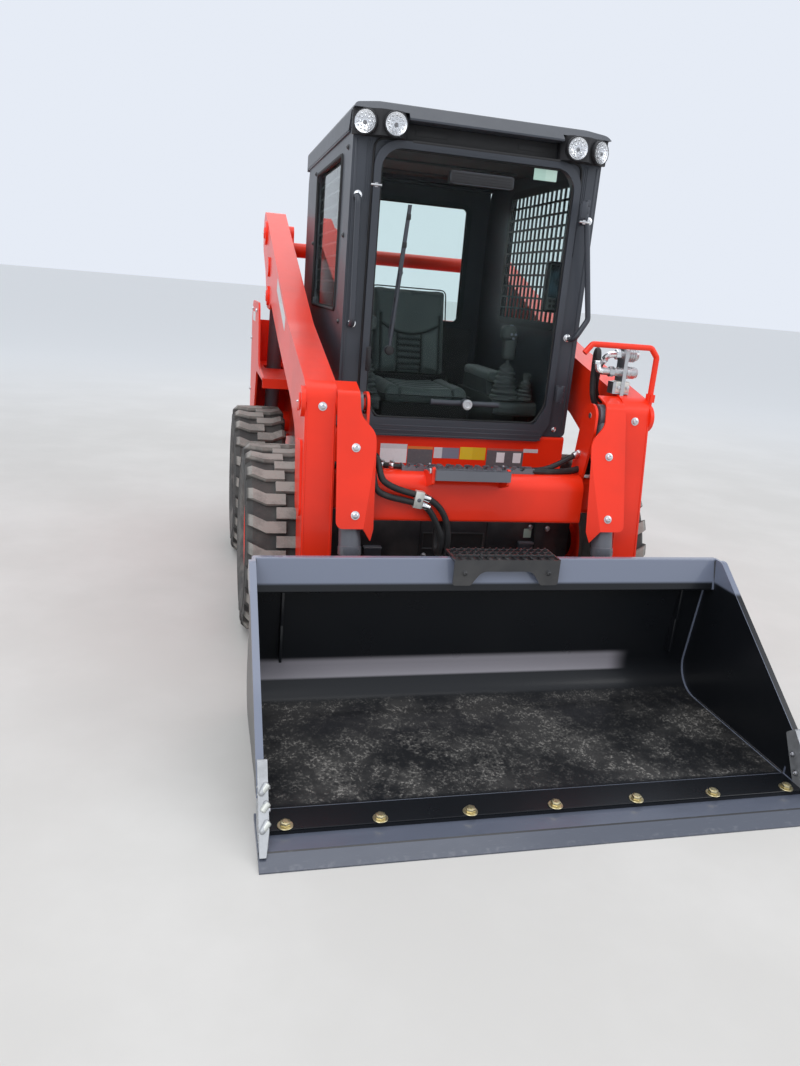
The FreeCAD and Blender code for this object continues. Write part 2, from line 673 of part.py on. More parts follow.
PANE_X = INNER_X - SEAT
door_pane = slab_y(door_ring(8, SILL_Z + 16), GLASS_FACE, CAB_FRONT_Y - SEAT)
side_rows = rect(WIN_Y0 - GLASS_LAP, WIN_Y1 - GLASS_LAP + 40, WIN_Z0 - GLASS_LAP, WIN_Z1 + GLASS_LAP, 70)
side_pane = slab_x(side_rows, PANE_X - GLASS, PANE_X)
rear_rows = rect(
    -REAR_WIN_X - GLASS_LAP, REAR_WIN_X + GLASS_LAP, REAR_WIN_Z0 - GLASS_LAP, REAR_WIN_Z1 + GLASS_LAP, 60)
PANE_Y = CAB_REAR_Y - WALL - SEAT
rear_pane = slab_y(rear_rows, PANE_Y - GLASS, PANE_Y)
export("cab_glass", Part.makeCompound([door_pane, side_pane, mirrored(side_pane), rear_pane]))

# bar screens behind the side panes
SCREEN_X = PANE_X - GLASS - SEAT
SCREEN_BAR = 9.0
SCREEN_COLUMNS, SCREEN_ROWS = 14, 11
cell_y = (WIN_Y1 - WIN_Y0 - 20) / SCREEN_COLUMNS
cell_z = (WIN_Z1 - WIN_Z0 - 20) / SCREEN_ROWS
cells = []
for i in range(SCREEN_COLUMNS):
    for j in range(SCREEN_ROWS):
        y = WIN_Y0 + 10 + cell_y * i + SCREEN_BAR / 2
        z = WIN_Z0 + 10 + cell_z * j + SCREEN_BAR / 2
        cells.append(box(
            SCREEN_X - 20, SCREEN_X + 5, y, y + cell_y - SCREEN_BAR, z, z + cell_z - SCREEN_BAR))
export("side_screens", both(cut(slab_x(side_rows, SCREEN_X - 8, SCREEN_X), cells)))

# Lamps and handles
LAMP_Z = ROOF_Z - 42
LAMP_R = 43.0
LAMP_OUT = 12.0
LAMP_TURN = math.atan2(POD_SIDE - POD_FACE, ROOF_X - POD_BEND)
TAIL_X = (575.0, 645.0)
TAIL_Z = (1100.0, 1180.0)
inner_lamp = V((POD_IN + POD_BEND) / 2, POD_FACE, LAMP_Z)
outer_lamp = V((POD_BEND + ROOF_X) / 2 + 2, (POD_FACE + POD_SIDE) / 2 + 1, LAMP_Z)
pod_pieces = [slab_z(pod_rows, POD_Z0, POD_Z1)]
for centre, turn in ((inner_lamp, 0.0), (outer_lamp, LAMP_TURN)):
    way = V(math.sin(turn), -math.cos(turn), 0)
    pod_pieces.append(bar(centre - way * 8, centre + way * LAMP_OUT, LAMP_R))
pod = joined(pod_pieces)
tail = slab_y(rect(*TAIL_X, *TAIL_Z, 10), TUB_REAR + SEAT, TUB_REAR + 22)
export("work_lamps", Part.makeCompound([pod, mirrored(pod), tail, mirrored(tail)]))

HANDLE_R = 11.0
HANDLE_BEND = 26.0
HANDLE_Y = CAB_FRONT_Y - 50
FOOT_Y = CAB_FRONT_Y - SEAT
right_handle = pipe([
    V(-468, FOOT_Y, DOOR_TOP - 195),
    V(-468, HANDLE_Y, DOOR_TOP - 195),
    V(-462, HANDLE_Y, SILL_Z + 402),
    V(-462, FOOT_Y, SILL_Z + 402),
], HANDLE_R, HANDLE_BEND)
left_handle = pipe([
    V(440, FOOT_Y, DOOR_TOP - 199),
    V(440, HANDLE_Y, DOOR_TOP - 199),
    V(502, HANDLE_Y, SILL_Z + 491),
    V(454, HANDLE_Y, SILL_Z + 408),
    V(454, FOOT_Y, SILL_Z + 408),
], HANDLE_R, HANDLE_BEND)
export("grab_handles", Part.makeCompound([right_handle, left_handle]))

# Seat and controls
SEAT_Y0 = FRONT_AXLE_Y + 300
SEAT_TOP = 1021.0
seat_base_rows = [
    (SEAT_Y0 + 60, CAB_FLOOR_Z + FLOOR_T, 0),
    (SEAT_Y0 + 430, CAB_FLOOR_Z + FLOOR_T, 0),
    (SEAT_Y0 + 430, SEAT_TOP - 78 - SEAT, 0),
    (SEAT_Y0 + 20, SEAT_TOP - 78 - SEAT, 0),
]
seat_base = slab_x(seat_base_rows, -205, 205)
SHELL_LOW = SEAT_TOP - 120
SHELL_TOP = 1444.0
LEAN = 135.0 / (SHELL_TOP - SHELL_LOW)


def shell_y(z):
    """Front face of the seat's back shell at height z."""
    return SEAT_Y0 + 425 + LEAN * (z - SHELL_LOW)


back_shell_rows = [
    (shell_y(SHELL_LOW), SHELL_LOW, 0),
    (shell_y(SHELL_LOW) + 25, SHELL_LOW, 10),
    (shell_y(SHELL_TOP) + 20, SHELL_TOP - 6, 10),
    (shell_y(SHELL_TOP), SHELL_TOP, 0),
]
back_shell = slab_x(back_shell_rows, -190, 190)
export("seat_frame", joined([seat_base, back_shell]))
cushion_rows = [
    (SEAT_Y0, SEAT_TOP - 78, 25),
    (shell_y(SEAT_TOP - 78) - SEAT, SEAT_TOP - 78, 0),
    (shell_y(SEAT_TOP - 20) - SEAT, SEAT_TOP - 20, 10),
    (SEAT_Y0 + 120, SEAT_TOP - 8, 60),
    (SEAT_Y0, SEAT_TOP, 32),
]
cushion_plan = rect(-215, 215, SEAT_Y0 - 5, SEAT_Y0 + 450, 50)
cushion = slab_x(cushion_rows, -215, 215).common(slab_z(cushion_plan, 800, 1100))
export("seat_cushion", cushion)
PAD_LOW, PAD_TOP = SEAT_TOP + 4, SHELL_TOP + 18
back_rows = [
    (shell_y(PAD_LOW) - SEAT - 78, PAD_LOW, 20),
    (shell_y(PAD_LOW) - SEAT, PAD_LOW, 0),
    (shell_y(PAD_TOP) - SEAT, PAD_TOP, 12),
    (shell_y(PAD_TOP) - SEAT - 84, PAD_TOP, 30),
]
back_face = rect(-200, 200, PAD_LOW, PAD_TOP, 60)
seat_back = slab_x(back_rows, -200, 200).common(slab_y(back_face, SEAT_Y0, SEAT_Y0 + 700))
export("seat_back", seat_back)

console_rows = [
    (SEAT_Y0 - 170, SEAT_TOP - 90, 20),
    (SEAT_Y0 + 400, SEAT_TOP - 130, 20),
    (SEAT_Y0 + 400, SEAT_TOP - 18, 30),
    (SEAT_Y0 - 60, SEAT_TOP - 12, 30),
    (SEAT_Y0 - 170, SEAT_TOP - 30, 30),
]
console = slab_x(console_rows, 262, 470)
leg_rows = [
    (SEAT_Y0 - 60, CAB_FLOOR_Z + FLOOR_T, 0),
    (SEAT_Y0 + 340, CAB_FLOOR_Z + FLOOR_T, 0),
    (SEAT_Y0 + 340, SEAT_TOP - 60, 0),
    (SEAT_Y0 - 100, SEAT_TOP - 60, 0),
]
console = joined([console, slab_x(leg_rows, 400, 470)])
arm_rest = slab_x([
    (SEAT_Y0 - 10, SEAT_TOP - 18, 0),
    (SEAT_Y0 + 360, SEAT_TOP - 22, 0),
    (SEAT_Y0 + 360, SEAT_TOP + 52, 24),
    (SEAT_Y0 + 20, SEAT_TOP + 52, 24),
], 280, 360)
console = joined([console, arm_rest])
export("consoles", both(console))

STICK_Y = SEAT_Y0 - 105
stick_base = SEAT_TOP - 20
stick = joined([
    Part.makeCone(46, 30, 50, V(330, STICK_Y, stick_base), V(0, 0, 1)),
    Part.makeCone(38, 22, 60, V(330, STICK_Y, stick_base + 45), V(0, 0, 1)),
    bar(V(330, STICK_Y, stick_base + 90), V(330, STICK_Y, stick_base + 190), 9),
    slab_z(rect(308, 352, STICK_Y - 26, STICK_Y + 22, 18), stick_base + 185, stick_base + 300),
])
stick = cut(stick, [console])
display = slab_y(rect(350, 456, SILL_Z + 510, SILL_Z + 703, 12), POST_Y + SEAT, POST_Y + 32)
export("controls", Part.makeCompound([stick, mirrored(stick), display]))

# Hood and rear door
HOOD_FRONT = HOOD_HINGE[0] + 12
hood_rows = [
    (HOOD_FRONT, DECK_Z + SEAT, 0),
    (HOOD_FRONT, DECK_Z + 62, 18),
    (TUB_REAR - 150, DECK_Z + 62, 120),
    (TUB_REAR - 6, DECK_Z + 10, 20),
    (TUB_REAR - 6, DECK_Z + SEAT, 0),
]
hood = slab_x(hood_rows, -TUB_X + 8, TUB_X - 8)
hollow_rows = [
    (HOOD_FRONT + 14, DECK_Z - 10, 0),
    (HOOD_FRONT + 14, DECK_Z + 50, 8),
    (TUB_REAR - 156, DECK_Z + 50, 110),
    (TUB_REAR - 24, DECK_Z + 4, 8),
    (TUB_REAR - 24, DECK_Z - 10, 0),
]
hood = cut(hood, [slab_x(hollow_rows, -TUB_X + 22, TUB_X - 22)])
louvres = []
for i in range(7):
    y = HOOD_FRONT + 90 + 46 * i
    for x in (-330, 90):
        louvres.append(box(x, x + 240, y, y + 18, DECK_Z + 30, DECK_Z + 80))
hood = cut(hood, louvres)
knuckles = []
bores = []
for x in (HOOD_HINGE_X, -HOOD_HINGE_X):
    knuckles.append(round_x(HOOD_HINGE, HINGE_R, x - KNUCKLE / 2, x + KNUCKLE / 2))
    knuckles.append(box(
        x - KNUCKLE / 2, x + KNUCKLE / 2, HOOD_HINGE[0], HOOD_FRONT + 4,
        HOOD_HINGE[1] - 6, HOOD_HINGE[1] + 6))
    bores.append(round_x(HOOD_HINGE, HINGE_PIN_R + SEAT, x - KNUCKLE, x + KNUCKLE))
export("hood", cut(joined([hood] + knuckles), bores))

DOOR_DEEP = 44.0
DOOR_SKIN = 10.0
door_back = TUB_REAR + DOOR_DEEP
rear_door = cut(
    slab_y(rect(-DOOR_HALF, DOOR_HALF, DOOR_Z0, DOOR_Z1, 40), TUB_REAR + SEAT, door_back),
    [slab_y(
        rect(-DOOR_HALF + WALL, DOOR_HALF - WALL, DOOR_Z0 + WALL, DOOR_Z1 - WALL, 30),
        TUB_REAR - 5, door_back - DOOR_SKIN)],
)
GILLS = 11
GILL_PITCH = 44.0
gills = []
for i in range(GILLS):
    z = DOOR_Z0 + 190 + GILL_PITCH * i
    gill = rect(-DOOR_HALF + 108, DOOR_HALF - 108, z, z + 26, 10)
    gills.append(slab_y(gill, TUB_REAR + 20, door_back + 16))
rear_door = cut(rear_door, gills)
LATCH_X = DOOR_HALF - 86
latch = box(LATCH_X, LATCH_X + 60, door_back - 4, door_back + 12, 800, 900)
door_knuckles = []
door_bores = []
for z in DOOR_HINGE_Z:
    at = V(DOOR_HINGE[0], DOOR_HINGE[1], z - KNUCKLE / 2)
    door_knuckles.append(Part.makeCylinder(HINGE_R, KNUCKLE, at, V(0, 0, 1)))
    door_knuckles.append(box(
        DOOR_HINGE[0], -DOOR_HALF + 4, DOOR_HINGE[1] - 6, DOOR_HINGE[1] + 6,
        z - KNUCKLE / 2, z + KNUCKLE / 2))
    below = V(DOOR_HINGE[0], DOOR_HINGE[1], z - KNUCKLE)
    door_bores.append(Part.makeCylinder(HINGE_PIN_R + SEAT, 2 * KNUCKLE, below, V(0, 0, 1)))
export("rear_door", cut(joined([rear_door, latch] + door_knuckles), door_bores))

# Boom
# rows: y, z, corner radius
arm_rows = [
    (HINGE_PIN[0] - 66, HINGE_PIN[1] - 64, 58),
    (FRONT_AXLE_Y - 586, 480, 120),
    (FRONT_AXLE_Y - 507, 1100, 70),
    (FRONT_AXLE_Y + 196, 1272, 500),
    (BOOM_PIN[0] + 268, BOOM_PIN[1] + 172, 110),
    (BOOM_PIN[0] + 250, BOOM_PIN[1] - 70, 90),
    (BOOM_PIN[0] + 20, BOOM_PIN[1] - 200, 80),
    (CONTROL_HEAD[0] + 110, CONTROL_HEAD[1] - 62, 54),
    (CONTROL_HEAD[0] - 60, CONTROL_HEAD[1] - 70, 50),
    (CONTROL_HEAD[0] - 150, CONTROL_HEAD[1] - 34, 60),
    (REAR_AXLE_Y - 456, 1166, 300),
    (FRONT_AXLE_Y - 47, 984, 120),
    (FRONT_AXLE_Y - 219, 905, 150),
    (FRONT_AXLE_Y - 369, 740, 150),
    (FRONT_AXLE_Y - 437, 480, 150),
    (HINGE_PIN[0] + 66, HINGE_PIN[1] - 64, 58),
]
arm = slab_x(arm_rows, ARM_IN, ARM_OUT)
# pocket that the lift rod works in, open below
pocket_rows = [
    (LIFT_HEAD[0] - 120, 1180, 0),
    (LIFT_HEAD[0] - 74, LIFT_HEAD[1] + 20, 30),
    (LIFT_HEAD[0] - 30, LIFT_HEAD[1] + 76, 40),
    (LIFT_HEAD[0] + 100, LIFT_HEAD[1] + 76, 20),
    (BOOM_PIN[0] - 30, BOOM_PIN[1] - 92, 30),
    (BOOM_PIN[0] + 330, BOOM_PIN[1] - 92, 0),
    (BOOM_PIN[0] + 330, 1180, 0),
]
pocket = slab_x(pocket_rows, ARM_IN + ARM_WALL, ARM_OUT - ARM_WALL)
arm = cut(arm, [pocket, round_x(HINGE_PIN, PIN_RADIUS + SEAT, ARM_IN - 5, ARM_OUT + 5)])
arm = cut(arm, [round_x(BOOM_PIN, PIN_RADIUS + SEAT, ARM_IN - 5, ARM_OUT - 20)])
doubler_rows = [
    (FRONT_AXLE_Y - 539, 620, 30),
    (FRONT_AXLE_Y - 411, 640, 30),
    (FRONT_AXLE_Y - 359, 800, 40),
    (FRONT_AXLE_Y - 329, 880, 30),
    (FRONT_AXLE_Y - 489, 900, 30),
]
EAR_PLATE = 10.0
EAR_IN = TILT_X - TILT_BARREL - RUN - 4
arm_add = [
    arm,
    slab_x(doubler_rows, ARM_OUT - 1, ARM_OUT + 8),
    round_x(TILT_TOP, 54, ARM_OUT - 1, ARM_OUT + 14),
    round_x(TILT_TOP, 44, ARM_IN - 10, ARM_IN + 1),
    round_x(TILT_TOP, PIN_RADIUS, EAR_IN, ARM_IN + 1),
    round_x(BOOM_PIN, 62, ARM_OUT - 1, ARM_OUT + 12),
    round_x(LIFT_HEAD, 50, ARM_OUT - 1, ARM_OUT + 10),
    round_x(CONTROL_HEAD, 50, ARM_OUT - 1, ARM_OUT + 10),
]
arm = joined(arm_add)
export("boom_arms", both(arm))

# cross members between the arms
CROSS_Y0, CROSS_Y1 = FRONT_AXLE_Y - 464, FRONT_AXLE_Y - 359
CROSS_Z0, CROSS_Z1 = 640.0, 784.0
REAR_TUBE = (BOOM_PIN[0] - 139, BOOM_PIN[1] - 80)
cross_rows = rect(CROSS_Y0, CROSS_Y1, CROSS_Z0, CROSS_Z1, 22)
cross = slab_x(cross_rows, -ARM_IN, ARM_IN)
COVER_FRONT = CROSS_Y0 - 66
COVER_LOW = CROSS_Z0 - 22
COVER_TOP = CROSS_Z1 + 14
cover_rows = [
    (COVER_FRONT, COVER_LOW, 10),
    (CROSS_Y0 + 20, COVER_LOW, 10),
    (CROSS_Y0 + 60, COVER_TOP, 40),
    (COVER_FRONT + 6, COVER_TOP, 55),
]
COVER_X = ARM_IN - 127
cover = slab_x(cover_rows, -COVER_X, COVER_X)
ear_rows = [
    (CROSS_Y1 - 4, CROSS_Z1 - 60, 0),
    (TILT_TOP[0] + 58, TILT_TOP[1] + 40, 48),
    (TILT_TOP[0] - 46, TILT_TOP[1] + 50, 48),
    (TILT_TOP[0] - 50, TILT_TOP[1] - 60, 30),
    (CROSS_Y0 + 4, CROSS_Z1 - 60, 0),
]
ear = slab_x(ear_rows, EAR_IN - EAR_PLATE, EAR_IN)
rear_tube = round_x(REAR_TUBE, 38, -ARM_IN, ARM_IN)
BOX_X0, BOX_X1 = -197.0, 90.0
BOX_Z = COVER_TOP + 35
BOX_DEEP = 24.0
box_front = COVER_FRONT - 78
bracket_rows = [
    (box_front + 12, BOX_Z + 5, 4),
    (box_front + 12, BOX_Z - 57, 10),
    (COVER_FRONT + 12, BOX_Z - 83, 0),
    (COVER_FRONT + 66, BOX_Z - 48, 0),
    (COVER_FRONT + 51, COVER_TOP + 8, 0),
    (box_front + BOX_DEEP + 4, COVER_TOP + 14, 0),
    (box_front + BOX_DEEP + 4, BOX_Z + 5, 4),
]
BRACKET = 10.0
bracket_places = (BOX_X0 - BRACKET + 1, BOX_X1 - BRACKET)
brackets = [slab_x(bracket_rows, x, x + BRACKET) for x in bracket_places]
front_cross = joined([cross, cover, ear, mirrored(ear)] + brackets)
export("boom_crossmembers", Part.makeCompound([front_cross, rear_tube]))

# cylinder guards: a plate in front of each tilt cylinder, its inner edge bent back
GUARD_PLATE = 6.0
GUARD_WIDE = 141.0
GUARD_LOW_Z = 622.0
GUARD_LEAN = (TILT_TOP[0] - TILT_FOOT[0]) / (TILT_TOP[1] - TILT_FOOT[1])
GUARD_OFF = (TILT_BARREL + RUN) * math.hypot(1, GUARD_LEAN) + 8


def guard_y(z):
    """Rear face of the guard plate at height z."""
    return TILT_TOP[0] + GUARD_LEAN * (z - TILT_TOP[1]) - GUARD_OFF


GUARD_TOP_Z = TILT_TOP[1] + 48
GUARD_TIP_Z = GUARD_LOW_Z - 42
guard_rows = [
    (guard_y(GUARD_TOP_Z) + 76, GUARD_TOP_Z + 26, 0),
    (guard_y(GUARD_TOP_Z) - GUARD_PLATE, GUARD_TOP_Z, 30),
    (guard_y(GUARD_TIP_Z) - GUARD_PLATE, GUARD_TIP_Z, 0),
    (guard_y(GUARD_TIP_Z), GUARD_TIP_Z, 0),
    (guard_y(GUARD_TOP_Z), GUARD_TOP_Z - 5, 24),
    (guard_y(GUARD_TOP_Z) + 76, GUARD_TOP_Z + 20, 0),
]
guard_x0, guard_x1 = ARM_IN - GUARD_WIDE, ARM_IN - SEAT
FOLD_IN = 43.0
FOLD_TOP_Z = GUARD_LOW_Z + 270
FOLD_TURN = 38.0
# the plate's outline seen from the front: x, z, corner radius
guard_face = [
    (guard_x1, GUARD_LOW_Z, 24),
    (guard_x1, GUARD_TOP_Z + 30, 0),
    (guard_x0 + 62, GUARD_TOP_Z + 30, 0),
    (guard_x0 + 56, GUARD_LOW_Z + 385, 60),
    (guard_x0, GUARD_LOW_Z + 325, 60),
    (guard_x0, FOLD_TOP_Z, 0),
    (guard_x0 + FOLD_IN, GUARD_LOW_Z, 0),
]
guard_reach = (guard_y(GUARD_TIP_Z) - 20, guard_y(GUARD_TOP_Z) + 100)
guard = slab_x(guard_rows, guard_x0, guard_x1).common(slab_y(guard_face, *guard_reach))


def on_guard(x, z):
    """Point on the guard's front face."""
    return V(x, guard_y(z) - GUARD_PLATE, z)


fold_top, fold_low = on_guard(guard_x0, FOLD_TOP_Z), on_guard(guard_x0 + FOLD_IN, GUARD_LOW_Z)
fold_tip = [on_guard(guard_x0 + 2, GUARD_TIP_Z), on_guard(guard_x0 - 11, GUARD_TIP_Z + 40)]
flange = Part.Face(Part.makePolygon([fold_top, fold_low] + fold_tip + [fold_top]))
flange = flange.extrude(V(0, GUARD_PLATE, 0))
flange.rotate(fold_top, fold_low - fold_top, FOLD_TURN)
export("cylinder_guards", both(joined([guard, flange])))

# step bars on the cross member
def tread(x0, x1, y0, y1, z0, z1, pitch):
    """Serrated bar: a plate with a row of notches along its top front edge."""
    shape = box(x0, x1, y0, y1, z0, z1)
    count = int((x1 - x0) // pitch)
    notches = []
    for i in range(count):
        x = x0 + pitch * (i + 0.5)
        notches.append(Part.makeCylinder(pitch * 0.3, y1 - y0 + 10, V(x, y0 - 5, z1), V(0, 1, 0)))
    return cut(shape, notches)


STEP_X0, STEP_X1 = -290.0, 236.0
long_bar = tread(STEP_X0, STEP_X1, CROSS_Y0 - 10, CROSS_Y0 + 30, COVER_TOP, COVER_TOP + 22, 38)
long_bar = cut(long_bar, [front_cross])
front_bar = box(BOX_X0, BOX_X1, box_front, box_front + BOX_DEEP, BOX_Z - 39, BOX_Z)
top_bar = box(BOX_X0, BOX_X1, box_front + BOX_DEEP - 1, COVER_FRONT + 20, COVER_TOP + 6, COVER_TOP + 14)
step_shape = cut(joined([front_bar, top_bar]), [front_cross])
export("step_bars", Part.makeCompound([long_bar, step_shape]))

# auxiliary couplers on the left arm with their guard loop
LOOP_Y = FRONT_AXLE_Y - 480
LOOP_Z = 1303.0
LOOP_R = 11.0
COUPLER_R = 17.0
loop = pipe([
    V(ARM_OUT + 8, LOOP_Y, 1034),
    V(ARM_OUT + 8, LOOP_Y, LOOP_Z - 33),
    V(ARM_OUT - 20, LOOP_Y, LOOP_Z),
    V(ARM_IN - 155, LOOP_Y, LOOP_Z),
    V(ARM_IN - 183, LOOP_Y, LOOP_Z - 35),
], LOOP_R, 18)
loop_foot = box(ARM_OUT, ARM_OUT + 18, LOOP_Y - 19, LOOP_Y + 19, 1100, 1130)
COUPLER_Y = LOOP_Y + 61
COUPLER_Z = 1202.0
COUPLER_RISE = 66.0
# a bracket plate stands on the arm and carries the couplers and their block
bracket_rows = rect(COUPLER_Y - 30, COUPLER_Y + 30, TILT_TOP[1] + 34, COUPLER_Z + COUPLER_RISE + 24, 8)
coupler_shapes = [
    slab_x(bracket_rows, ARM_IN + 5, ARM_IN + 20),
    box(ARM_IN - 25, ARM_IN + 45, COUPLER_Y - 22, COUPLER_Y + 22, COUPLER_Z - 82, COUPLER_Z - 37),
]
for step, reach_in, reach_out in ((0, 70, 77), (1, 20, 70)):
    z = COUPLER_Z + COUPLER_RISE * step
    ends = V(ARM_IN - reach_in, COUPLER_Y, z), V(ARM_IN + reach_out, COUPLER_Y, z)
    coupler_shapes.append(bar(*ends, COUPLER_R - 3))
    sleeve = V(ARM_IN + reach_out - 34, COUPLER_Y, z), V(ARM_IN + reach_out - 4, COUPLER_Y, z)
    coupler_shapes.append(bar(*sleeve, COUPLER_R))
export("hydraulic_couplers", cut(joined(coupler_shapes), [arm]))
loop = joined([loop, loop_foot])
loop = cut(loop, [arm])
export("coupler_guard", loop)

# hoses on the front of the boom: one over the other to their clamp, then side by side
HOSE_R = 12.0
HOSE_PITCH = 26.0
HOSE_BEND = 16.0
HOSE_X = -(EAR_IN - EAR_PLATE) + HOSE_R + 3
CLAMP_X, CLAMP_Z = -240.0, CROSS_Z1 - 74
HOSE_END_X = -124.0
HOSE_LOW_Z = COVER_LOW - 118
front = COVER_FRONT - HOSE_R - 14
hoses = []
for side in (1, -1):
    start_x = HOSE_X + HOSE_PITCH / 2 * (side + 1)
    end_x = HOSE_END_X + HOSE_PITCH / 2 * side
    hose = pipe([
        V(start_x, CROSS_Y0 + 23, COVER_TOP - 12),
        V(start_x, CROSS_Y0 + 23, COVER_TOP + 44),
        V(start_x, front + 12, COVER_TOP + 17),
        V(start_x + 14, front, CLAMP_Z + 40 + HOSE_PITCH / 2 * side),
        V(CLAMP_X, front, CLAMP_Z + 16 * side),
        V(CLAMP_X + 68 + 7 * side, front, CLAMP_Z - 30 + HOSE_PITCH / 2 * side),
        V(end_x, front, HOSE_LOW_Z),
        V(end_x, CROSS_Y0 - 14, HOSE_LOW_Z),
        V(end_x, CROSS_Y0 - 14, COVER_LOW + 12),
    ], HOSE_R, HOSE_BEND)
    hoses.append(cut(hose, [front_cross]))
export("boom_hoses", Part.makeCompound(hoses))

# Links
def link(foot, head, width, x0, x1):
    """Flat link with round ends, from foot to head, both as (y, z)."""
    way = V(0, head[0] - foot[0], head[1] - foot[1])
    length = way.Length
    turn = math.degrees(math.atan2(way.z, way.y))
    rows = [(0, -width / 2, 0), (length, -width / 2, 0), (length, width / 2, 0), (0, width / 2, 0)]
    shape = slab_x(rows, x0, x1)
    shape.rotate(V(0, 0, 0), V(1, 0, 0), turn)
    shape.translate(V(0, foot[0], foot[1]))
    return joined([shape, round_x(foot, width * 0.62, x0, x1), round_x(head, width * 0.62, x0, x1)])


rear_link = link(REAR_LINK_FOOT, BOOM_PIN, 78, LINK_IN, LINK_OUT)
rear_link = cut(rear_link, [round_x(REAR_LINK_FOOT, PIN_RADIUS + SEAT, LINK_IN - 5, LINK_OUT + 5)])
rear_link = joined([rear_link, round_x(BOOM_PIN, PIN_RADIUS, LINK_IN + 2, ARM_OUT - 28)])
export("rear_links", both(rear_link))
control_link = link(CONTROL_FOOT, CONTROL_HEAD, 72, LINK_IN, LINK_OUT)
control_link = cut(control_link, [round_x(CONTROL_FOOT, PIN_RADIUS + SEAT, LINK_IN - 5, LINK_OUT + 5)])
control_link = joined([control_link, round_x(CONTROL_HEAD, PIN_RADIUS, LINK_IN - 6, LINK_OUT + 1)])
export("control_links", both(control_link))


# Cylinders
def cylinder(foot, head, x, bore_r, rod_r, barrel_end, rod_start, eye_r, eye_half, hollow_from, head_half):
    """Barrel and rod between foot and head (y, z), made upright and turned into place."""
    way = V(0, head[0] - foot[0], head[1] - foot[1])
    length = way.Length
    turn = math.degrees(math.atan2(way.z, way.y)) - 90
    up = V(0, 0, 1)
    barrel = joined([
        round_x((0, 0), eye_r, -eye_half, eye_half),
        Part.makeCylinder(bore_r, barrel_end - eye_r * 0.7, V(0, 0, eye_r * 0.7), up),
    ])
    barrel = cut(barrel, [
        Part.makeCylinder(rod_r + SEAT, barrel_end, V(0, 0, hollow_from), up),
        round_x((0, 0), PIN_RADIUS + SEAT, -eye_half - 5, eye_half + 5),
    ])
    rod = joined([
        Part.makeCylinder(rod_r, length - rod_start - eye_r * 0.5, V(0, 0, rod_start), up),
        round_x((0, length), eye_r - 4, -head_half, head_half),
        round_x((0, length), PIN_RADIUS - 2, -head_half - 12, head_half + 12),
    ])
    for shape in (barrel, rod):
        shape.rotate(V(0, 0, 0), V(1, 0, 0), turn)
        shape.translate(V(x, foot[0], foot[1]))
    return barrel, rod


lift_barrel, lift_rod = cylinder(LIFT_FOOT, LIFT_HEAD, ARM_MID, LIFT_BARREL, 22, 770, 300, 42, 38, 60, 24)
export("lift_barrels", both(lift_barrel))
export("lift_rods", both(lift_rod))
tilt_barrel, tilt_rod = cylinder(TILT_TOP, TILT_FOOT, TILT_X, TILT_BARREL, 20, 541, 115, 44, 36, 62, 24)
export("tilt_barrels", both(tilt_barrel))
export("tilt_rods", both(tilt_rod))

# Bucket
BUCKET_X = BUCKET_WIDTH / 2
EDGE_T = 20.0
PLATE = 10.0
BACK_LOW_Y = FRONT_AXLE_Y - 738
BACK_SLOPE = -64.0 / 474.0
BUCKET_TOP = 578.0
FLOOR_FRONT = FRONT_Y + 124
FLOOR_Z = EDGE_T + PLATE
HEEL_R = 118.0


def back_y(z):
    """Rear face of the bucket's back plate at height z."""
    return BACK_LOW_Y + BACK_SLOPE * (z - EDGE_T)


shell_rows = [
    (FLOOR_FRONT, EDGE_T, 0),
    (back_y(EDGE_T), EDGE_T, HEEL_R),
    (back_y(BUCKET_TOP), BUCKET_TOP, 0),
    (back_y(BUCKET_TOP) - 8, BUCKET_TOP, 0),
    (back_y(FLOOR_Z) - 8, FLOOR_Z, HEEL_R - 9),
    (FLOOR_FRONT, FLOOR_Z, 0),
]
SIDE_X = BUCKET_X - 12
shell = slab_x(shell_rows, -SIDE_X + PLATE / 2, SIDE_X - PLATE / 2)
lip_rows = [
    (back_y(BUCKET_TOP) - 4, BUCKET_TOP, 0),
    (back_y(BUCKET_TOP) - 22, BUCKET_TOP, 6),
    (back_y(465) - 62, 465, 6),
    (back_y(452) - 4, 452, 0),
]
lip = slab_x(lip_rows, -SIDE_X + PLATE / 2, SIDE_X - PLATE / 2)
cheek_rows = [
    (FLOOR_FRONT, EDGE_T, 0),
    (back_y(EDGE_T), EDGE_T, HEEL_R),
    (back_y(BUCKET_TOP), BUCKET_TOP, 10),
    (back_y(BUCKET_TOP) - 60, BUCKET_TOP, 40),
    (FLOOR_FRONT + 60, EDGE_T + 130, 60),
    (FLOOR_FRONT, EDGE_T + 40, 10),
]
cheek = slab_x(cheek_rows, SIDE_X - PLATE, SIDE_X)
SLOPE_Y0, SLOPE_Z0 = back_y(BUCKET_TOP) - 60, BUCKET_TOP
SLOPE_Y1, SLOPE_Z1 = FLOOR_FRONT + 60, EDGE_T + 130
band_rows = [
    (SLOPE_Y0 + 20, SLOPE_Z0, 0),
    (SLOPE_Y0, SLOPE_Z0, 20),
    (SLOPE_Y1, SLOPE_Z1, 40),
    (SLOPE_Y1 - 20, SLOPE_Z1 - 40, 0),
    (SLOPE_Y1 + 50, SLOPE_Z1 - 40, 30),
    (SLOPE_Y0 + 40, SLOPE_Z0 - 46, 0),
]
band = slab_x(band_rows, SIDE_X - 1, BUCKET_X)
RUNNER_X = SIDE_X - 72
runners = [
    box(x - 30, x + 30, FLOOR_FRONT + 104, back_y(EDGE_T) - HEEL_R + 20, 0, EDGE_T + 1)
    for x in (-RUNNER_X, -RUNNER_X / 2, 0, RUNNER_X / 2, RUNNER_X)
]
bolt_y = FLOOR_FRONT + 18
EDGE_BOLTS = 7
